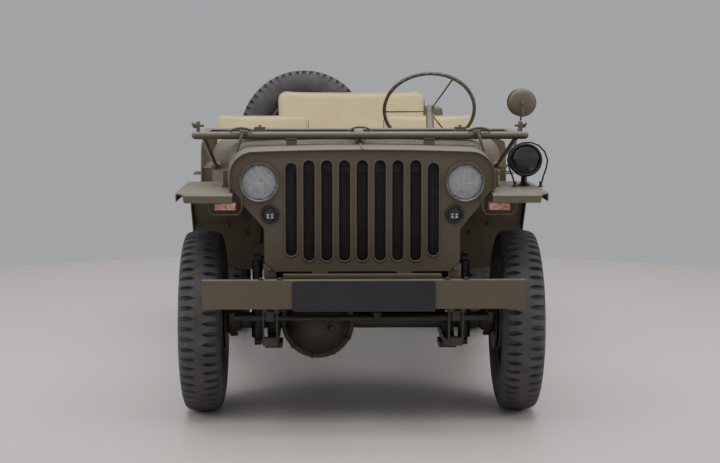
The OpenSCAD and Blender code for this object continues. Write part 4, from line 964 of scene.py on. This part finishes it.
def pad(name, size, place, body, swell, corner=0.03):
    """A boxed pad of the given width, depth and thickness, blown up by a cloth run and set in place."""
    wide, deep, thick = (s / 2 for s in size)
    shrink = swell * 0.55
    bm = bmesh.new()
    slab(bm, (-wide + 0.004, -deep + 0.004, -thick + shrink), (wide - 0.004, deep - 0.004, thick - shrink),
         0)
    upright_edges = [e for e in bm.edges if abs(e.verts[0].co.z - e.verts[1].co.z) > 0.01]
    bmesh.ops.bevel(bm, geom=upright_edges, offset=corner, segments=4, affect="EDGES", profile=0.5)
    flat_edges = [e for e in bm.edges if abs(e.verts[0].co.z - e.verts[1].co.z) < 1e-5
                  and len(e.link_faces) == 2 and e.calc_face_angle() > 1.0]
    bmesh.ops.bevel(bm, geom=flat_edges, offset=min(0.02, thick * 0.5), segments=3, affect="EDGES",
                    profile=0.5)
    mesh = to_mesh(bm, name)
    piece = bpy.data.objects.new(name, mesh)
    bpy.context.collection.objects.link(piece)
    remesh = piece.modifiers.new("even", "REMESH")
    remesh.mode = "VOXEL"
    remesh.voxel_size = 0.0085
    graph = bpy.context.evaluated_depsgraph_get()
    even = bpy.data.meshes.new_from_object(piece.evaluated_get(graph))
    piece.modifiers.clear()
    piece.data = even
    rest = [v.co.copy() for v in even.vertices]
    cloth = piece.modifiers.new("stuffing", "CLOTH")
    cloth.settings.use_pressure = True
    cloth.settings.uniform_pressure_force = 4.0
    cloth.settings.effector_weights.gravity = 0.0
    cloth.settings.quality = 5
    cloth.settings.tension_stiffness = 18
    cloth.settings.compression_stiffness = 18
    cloth.settings.shear_stiffness = 6
    cloth.settings.bending_stiffness = 1.0
    cloth.point_cache.frame_start = 1
    cloth.point_cache.frame_end = 20
    for step in range(1, cloth.point_cache.frame_end + 1):
        bpy.context.scene.frame_set(step)
    graph = bpy.context.evaluated_depsgraph_get()
    blown = bpy.data.meshes.new_from_object(piece.evaluated_get(graph))
    moves = [v.co - r for v, r in zip(blown.vertices, rest)]
    piece.modifiers.clear()
    bpy.context.scene.frame_set(1)
    limits = Vector((wide, deep, thick))
    for vert, start, move in zip(even.vertices, rest, moves):
        if move.length > swell:
            move = move.normalized() * swell
        spot = start + move
        # Crown in the middle, sides drawn in between the corners
        u = min(1.0, abs(spot.x) / wide)
        w = min(1.0, abs(spot.y) / deep)
        crown = (1 - u ** 3) * (1 - w ** 3)
        spot.z += math.copysign(0.3 * shrink * crown, spot.z)
        spot.x *= 1 - 0.010 * (1 - w ** 2)
        spot.y *= 1 - 0.012 * (1 - u ** 2)
        vert.co = Vector(max(-l, min(l, c)) for c, l in zip(spot, limits))
    reach = [max(abs(v.co[axis]) for v in even.vertices) for axis in range(3)]
    for vert in even.vertices:
        vert.co = Vector(c * (l - 0.0015) / r for c, l, r in zip(vert.co, limits, reach))
    even.shade_smooth()
    even.materials.clear()
    even.materials.append(tan_duck)
    even.transform(place)
    smooth = piece.modifiers.new("soften", "SMOOTH")
    smooth.iterations = 3
    smooth.factor = 0.5
    finer = piece.modifiers.new("finer", "SUBSURF")
    finer.levels = 1
    finer.render_levels = 1
    graph = bpy.context.evaluated_depsgraph_get()
    final = bpy.data.meshes.new_from_object(piece.evaluated_get(graph))
    piece.modifiers.clear()
    piece.data = final
    final.shade_smooth()
    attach(piece, body)
    # Welts sewn along both boxed edges, so they lie on the blown cloth
    welt = bmesh.new()
    surface = BVHTree.FromPolygons([v.co for v in final.vertices],
                                   [tuple(p.vertices) for p in final.polygons])
    for z in (-1, 1):
        path = [place @ Vector((x, y, z * (thick - shrink * 0.6)))
                for x, y in round_oblong(wide - 0.002, deep - 0.002, corner)]
        dense = []
        for here, there in zip(path, path[1:] + path[:1]):
            stitches = max(1, int((there - here).length / 0.03))
            for i in range(stitches):
                spot, normal = surface.find_nearest(here.lerp(there, i / stitches))[:2]
                dense.append(spot + normal * 0.0006)
        rod(welt, dense, 0.0026, 8, closed=True)
    placed(name + "_welt", welt, body, welt_duck, 80)
    return piece


def lying(x, back, z):
    return Matrix.Translation(at(x, back, z))


def leaning(x, foot, head, low, high, thick):
    """Where a back pad lies: in front of tubes that run from foot to head, as (back, height)."""
    run = Vector((0, head[0] - foot[0], head[1] - foot[1]))
    along = run.normalized()
    ahead = Vector((0, -along.z, along.y))
    tube = 0.0123
    start = at(x, foot[0], foot[1]) + along * low
    end = at(x, head[0], head[1]) + along * high
    centre = (start + end) / 2 + ahead * (tube + thick / 2)
    turn_to = Matrix((Vector((1, 0, 0)), along, Vector((1, 0, 0)).cross(along))).transposed().to_4x4()
    return Matrix.Translation(centre) @ turn_to, (end - start).length


front_foot = (1.530, 0.720)
front_head = (1.610, 1.100)
rear_foot = (2.352, 0.730)
rear_head = (2.438, 1.190)
seat_deep = 0.368
seat_thick = 0.080
back_thick = 0.058
rear_deep = 0.374
rear_thick = 0.090
rear_back_thick = 0.062
for word, body in (("driver", "body"), ("passenger", "passenger_seat")):
    node = word + "_seat_cushions"
    low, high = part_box(node)
    x = (low.x + high.x) / 2
    width = high.x - low.x
    base = pad(word + "_seat_pad", (width - 0.004, seat_deep, seat_thick),
               lying(x, 1.318, low.z + seat_thick / 2),
               body, 0.016)
    where_to, reach = leaning(x, front_foot, front_head, 0.150, 0.022, back_thick)
    pad(word + "_back_pad", (width, reach, back_thick), where_to, body, 0.012)
    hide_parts(node)
low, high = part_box("rear_seat_cushions")
rear_wide = high.x - low.x
rear_base = pad("rear_seat_pad", (rear_wide, rear_deep, rear_thick), lying(0, 2.139, low.z + rear_thick / 2),
                "body", 0.016)
where_to, reach = leaning(0, rear_foot, rear_head, 0.130, 0.030, rear_back_thick)
pad("rear_back_pad", (rear_wide, reach, rear_back_thick), where_to, "body", 0.013, 0.045)
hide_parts("rear_seat_cushions")

# ----------------------------------------
# Steering wheel: a thin moulded rim on three steel rods, with the horn
# button of bright steel in the middle of its hub.

wheel_black = clouded("rim_olive_black", 0.4, 0.0, (50.0, 4.0), (0.3, 0.75), (0.055, 0.050, 0.035),
                      (0.085, 0.078, 0.056), Coat_Weight=0.25)
column_axis = Vector((0.0155, 0.8089, 0.5878)).normalized()
wheel_centre = at(0.352, 1.260, 1.160)
across_wheel = column_axis.cross(Vector((0, 0, 1))).normalized()
up_wheel = across_wheel.cross(column_axis)


def on_wheel(turned, radius, along=0.0):
    """A point on the steering wheel, turned anticlockwise from the car's left as seen from the front."""
    way = across_wheel * math.cos(turned) + up_wheel * math.sin(turned)
    return wheel_centre + way * radius + column_axis * along


rim_reach = 0.2125
wheel_ring = bmesh.new()
rod(wheel_ring, [on_wheel(math.tau * i / 72, rim_reach) for i in range(72)], 0.0092, 12, closed=True)
# Finger grips on the back of the rim
for i in range(36):
    turned = math.tau * (i + 0.5) / 36
    rod(wheel_ring, [on_wheel(turned - 0.035, rim_reach, -0.0035), on_wheel(turned, rim_reach, -0.0050),
                     on_wheel(turned + 0.035, rim_reach, -0.0035)], 0.0072, 8)
for degrees in (60, 183, -58):
    turned = math.radians(degrees)
    for lean in (-0.006, 0.006):
        rod(wheel_ring, [on_wheel(turned, 0.012, -0.012), on_wheel(turned + lean * 2, 0.09, -0.008),
                         on_wheel(turned + lean, rim_reach, 0.0)], 0.0030, 8)
turn(wheel_ring, [(0.0, -0.040), (0.019, -0.040), (0.023, -0.030), (0.025, -0.012), (0.028, -0.004),
                  (0.028, 0.004),
                  (0.024, 0.008), (0, 0.008)], wheel_centre, column_axis, 28)
steering_piece = placed("steering_wheel_rim", wheel_ring, "hand_wheel", wheel_black)
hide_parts("steering_wheel")
lathed("horn_button", [(0.024, 0.0), (0.024, 0.010), (0.019, 0.016), (0.017, 0.016), (0.014, 0.020),
                       (0, 0.022)], wheel_centre, 28, bare_steel, "hand_wheel", column_axis)

# ----------------------------------------
# Dashboard: steel panel with one large and four small round gauges, pull
# knobs, a glove-box lid and a grab handle.

dash_back = 0.870
dash_y = axle_y + dash_back
gauge_face = clouded("gauge_face", 0.4, 0.0, (60.0, 3.0), (0.35, 0.75), (0.016, 0.016, 0.017),
                     (0.03, 0.03, 0.03))
bezels = bmesh.new()
faces = bmesh.new()
needles = bmesh.new()
for x, z, r in ((0.02, 0.985, 0.043), (-0.062, 1.012, 0.026), (-0.062, 0.955, 0.026), (0.102, 1.012, 0.026),
                (0.102, 0.955, 0.026)):
    spot = Vector((x, dash_y, z))
    turn(bezels, [(r + 0.004, -0.003), (r + 0.004, 0.003), (r + 0.001, 0.006), (r - 0.003, 0.004),
                  (r - 0.004, 0.0015)], spot, (0, 1, 0), 36)
    turn(faces, [(r - 0.003, 0.001), (r * 0.5, 0.0016), (0, 0.0018)], spot, (0, 1, 0), 36)
    rod(needles, [spot + Vector((0, 0.003, -0.004)), spot + Vector((r * 0.5, 0.003, r * 0.45))], 0.0009, 6)
    for k in range(9):
        turned = math.radians(-30 + 30 * k)
        tick = spot + Vector((math.cos(turned), 0, math.sin(turned))) * (r * 0.80) + Vector((0, 0.0022, 0))
        rod(needles, [tick, tick + Vector((math.cos(turned), 0, math.sin(turned))) * r * 0.10], 0.0008, 6)
placed("gauge_bezels", bezels, "body", bare_steel)
placed("gauge_faces", faces, "body", gauge_face)
placed("gauge_needles", needles, "body", silver)
panel = bmesh.new()
for x in (-0.10, -0.02, 0.06, 0.14, 0.22):
    turn(panel, [(0.007, -0.002), (0.007, 0.002), (0.003, 0.003), (0.003, 0.014), (0.010, 0.016),
                 (0.011, 0.022), (0, 0.025)],
         Vector((x, dash_y, 0.918)), (0, 1, 0), 16)
lid = [(-0.42, 0.915), (-0.18, 0.915), (-0.18, 1.015), (-0.42, 1.015)]
rod(panel, [(x, dash_y + 0.0005, z) for x, z in lid], 0.0025, 8, closed=True)
slab(panel, (-0.315, dash_y - 0.001, 0.998), (-0.285, dash_y + 0.008, 1.008), 0.002)
grab = [(-0.47, dash_y, 0.955), (-0.47, dash_y + 0.045, 0.955), (-0.47, dash_y + 0.045, 1.015),
        (-0.47, dash_y, 1.015)]
rod(panel, grab, 0.006, 10)
placed("dash_fittings", panel, "body", olive_enamel)

# ----------------------------------------
# Mirror: a round glass in a domed steel back, clamped to a bent arm.

mirror_x = 0.730
mirror_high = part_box("side_mirror")[1]
mirror_spot = Vector((mirror_x, mirror_high.y, mirror_high.z - 0.062))
mirror_disc_front = axle_y + 0.740
domed = bmesh.new()
turn(domed, [(0.0606, 0.006), (0.0616, 0.001), (0.0606, -0.003), (0.054, -0.009), (0.040, -0.013),
             (0.020, -0.016), (0, -0.017)],
     Vector((mirror_x, mirror_disc_front, mirror_spot.z)), (0, 1, 0), 48)
slab(domed, (mirror_x - 0.008, mirror_disc_front - 0.024, mirror_spot.z - 0.058),
     (mirror_x + 0.008, mirror_disc_front - 0.008, mirror_spot.z + 0.006), 0.003)
bolt(domed, (mirror_x, mirror_disc_front - 0.023, mirror_spot.z - 0.004), (0, -1, 0), 0.006, 0.005)
placed("mirror_back", domed, "body", olive_enamel)
mirror_glass = clouded("mirror_glass", 0.03, 1.0, (12.0, 3.0), (0.35, 0.75), (0.86, 0.88, 0.90),
                       (0.78, 0.80, 0.82))
lathed("mirror_glass", [(0.057, 0.0), (0.057, 0.0008), (0.030, 0.0012), (0, 0.0014)], mirror_spot, 48,
       mirror_glass)
lathed("mirror_rim", [(0.057, 0.002), (0.060, 0.003), (0.0612, 0.0), (0.0612, -0.012)], mirror_spot, 48,
       black_enamel)

# ----------------------------------------
# Fuel can: pressed steel halves welded round the middle, with a recessed
# cross on each broad face, three handles, a cap, and a canvas strap.

can_low, can_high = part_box("jerry_can")
can_x0, can_x1 = can_low.x, can_high.x
can_y0, can_y1 = can_low.y, can_high.y
can_z0 = can_low.z
can_height = 0.420
can_z1 = can_low.z + can_height
can_mid = (can_y0 + can_y1) / 2
cx = (can_x0 + can_x1) / 2
half_x = (can_x1 - can_x0) / 2
half_y = (can_y1 - can_y0) / 2
can = bmesh.new()
rings = []
for z, inset, radius in ((can_z0, 0.012, 0.024), (can_z0 + 0.004, 0.004, 0.030),
                         (can_z0 + 0.014, 0.001, 0.034),
                         (can_z1 - 0.030, 0.001, 0.034), (can_z1 - 0.010, 0.006, 0.030),
                         (can_z1, 0.020, 0.020)):
    outline = round_oblong(half_x - inset, half_y - inset, radius)
    rings.append([can.verts.new((cx + x, can_mid + y, z)) for x, y in outline])
for before, after in zip(rings, rings[1:]):
    for i in range(len(before)):
        j = (i + 1) % len(before)
        can.faces.new((before[i], before[j], after[j], after[i]))
can.faces.new(list(reversed(rings[0])))
can.faces.new(rings[-1])
# Raised cross ribs on the broad faces
cz = (can_z0 + can_z1) / 2
for y, way in ((can_y1 - 0.0005, 1), (can_y0 + 0.0005, -1)):
    for sx in (-1, 1):
        for sz in (-1, 1):
            rod(can, [(cx + sx * 0.030, y, cz + sz * 0.034), (cx + sx * 0.110, y, cz + sz * 0.135)], 0.0045,
                8)
            rod(can, [(cx + sx * 0.016, y, cz + sz * 0.045), (cx + sx * 0.092, y, cz + sz * 0.142)], 0.0045,
                8)
# Three handles and the cap
grip = [(-0.066, -0.004), (-0.062, 0.034), (-0.050, 0.040), (0.050, 0.040), (0.062, 0.034), (0.066, -0.004)]
for y in (-0.046, 0, 0.046):
    rod(can, [(cx + x, can_mid + y, can_z1 + z) for x, z in grip], 0.0065, 10)
cap_spot = Vector((cx - 0.124, can_mid, can_z1))
turn(can, [(0.034, -0.006), (0.034, 0.018), (0.030, 0.022), (0.030, 0.034), (0.026, 0.039), (0, 0.040)],
     cap_spot, (0, 0, 1), 28)
slab(can, (cap_spot.x - 0.040, cap_spot.y - 0.010, can_z1 + 0.014),
     (cap_spot.x + 0.044, cap_spot.y + 0.010, can_z1 + 0.020), 0.002)
can_piece = placed("fuel_can", can, "body", olive_enamel, 35)
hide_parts("jerry_can")
strap_duck = duck("strap_duck", (0.20, 0.19, 0.10, 1), (0.15, 0.14, 0.07, 1), 0.0004)
straps = bmesh.new()
strap_z = can_z0 + 0.235
half_w = 0.019
path = [(can_x0 - 0.002, axle_y + 2.5605), (can_x0 - 0.0035, can_mid), (can_x0 - 0.0035, can_y1 - 0.034),
        (can_x0 + 0.006, can_y1 - 0.008),
        (can_x0 + 0.034, can_y1 + 0.0035), (can_x1 - 0.034, can_y1 + 0.0035),
        (can_x1 - 0.006, can_y1 - 0.008), (can_x1 + 0.0035, can_y1 - 0.034),
        (can_x1 + 0.0035, can_mid), (can_x1 + 0.002, axle_y + 2.5605)]
outer_rows = []
for k, (x, y) in enumerate(path):
    thick = Vector((x - cx, y - can_mid, 0)).normalized() * 0.0024
    outer_rows.append([straps.verts.new(Vector((x, y, strap_z + dz)) + thick * t) for dz, t in
                       ((-half_w, 0), (half_w, 0), (half_w, 1), (-half_w, 1))])
skin(straps, outer_rows)
placed("can_strap", straps, "body", strap_duck, 40)
buckle = bmesh.new()
hang = Vector((cx + 0.05, can_y1 + 0.0085, strap_z))
frame_corners = ((-0.020, -0.023), (0.020, -0.023), (0.020, 0.023), (-0.020, 0.023))
rod(buckle, [hang + Vector((x, 0, z)) for x, z in frame_corners], 0.0024, 8, closed=True)
rod(buckle, [hang - Vector((0, 0, 0.023)), hang + Vector((0, 0, 0.023))], 0.002, 8)
placed("strap_buckle", buckle, "body", bare_steel)

# ----------------------------------------
# Axle castings: each differential has a bolted cover with a flange, two cast
# ribs and a filler plug, all in chassis enamel with oily dirt.

diff_x = -0.170
cover_bolts = 10
cover_circle = 0.1375
for word, way in (("front", -1), ("rear", 1)):
    ball = Vector((diff_x, axle_y if word == "front" else middle_of("rear_left_tyre").y, axle_z))
    casting = bmesh.new()
    turn(casting, [(0.120, -0.008), (0.143, -0.008), (0.145, -0.004), (0.145, 0.006), (0.143, 0.010),
                   (0.120, 0.010)],
         ball + Vector((0, way * 0.045, 0)), (0, way, 0), 48)
    for k in range(cover_bolts):
        turned = math.tau * k / cover_bolts + 0.15
        spot = Vector((cover_circle * math.cos(turned), way * 0.055, cover_circle * math.sin(turned)))
        bolt(casting, ball + spot, (0, way, 0), 0.0065, 0.006)
    bolt(casting, ball + Vector((0.050, way * 0.1290, -0.012)), (0.36, way, -0.1), 0.011, 0.010)
    # Cast ribs that run out from the cover over the axle tubes
    for out in (-1, 1):
        slab(casting, (ball.x + out * 0.148 - 0.022, ball.y - 0.006, ball.z + 0.038),
             (ball.x + out * 0.148 + 0.022, ball.y + 0.006, ball.z + 0.062), 0.003)
    placed(word + "_axle_cover", casting, "body", chassis_enamel)

# ----------------------------------------
# Body fittings: strap loops for tools and canvas along the sides and tail,
# each on two rivets.

loops = bmesh.new()
side_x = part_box("body_side_left")[1].x
tail_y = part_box("rear_panel")[1].y


def strap_loop(bm, spot, along, out):
    """A footman's loop: a bent strip that stands off the panel, on two rivets."""
    along = Vector(along)
    out = Vector(out)
    path = [spot - along * 0.026, spot - along * 0.016 + out * 0.001, spot - along * 0.012 + out * 0.009,
            spot + along * 0.012 + out * 0.009, spot + along * 0.016 + out * 0.001, spot + along * 0.026]
    rod(bm, path, 0.0030, 8)
    for end in (-1, 1):
        turn(bm, [(0.005, 0.0), (0.0045, 0.004), (0, 0.0055)], spot + along * (end * 0.023), out, 12)


for side in (-1, 1):
    for back, z in ((1.72, 0.945), (2.05, 0.965), (2.36, 0.945)):
        strap_loop(loops, Vector((side * (side_x + 0.0005), axle_y + back, z)), (0, 1, 0), (side, 0, 0))
for x in (-0.60, -0.08, 0.10, 0.60):
    strap_loop(loops, Vector((x, tail_y + 0.0005, 0.955)), (1, 0, 0), (0, 1, 0))
placed("strap_loops", loops, "body", olive_enamel)
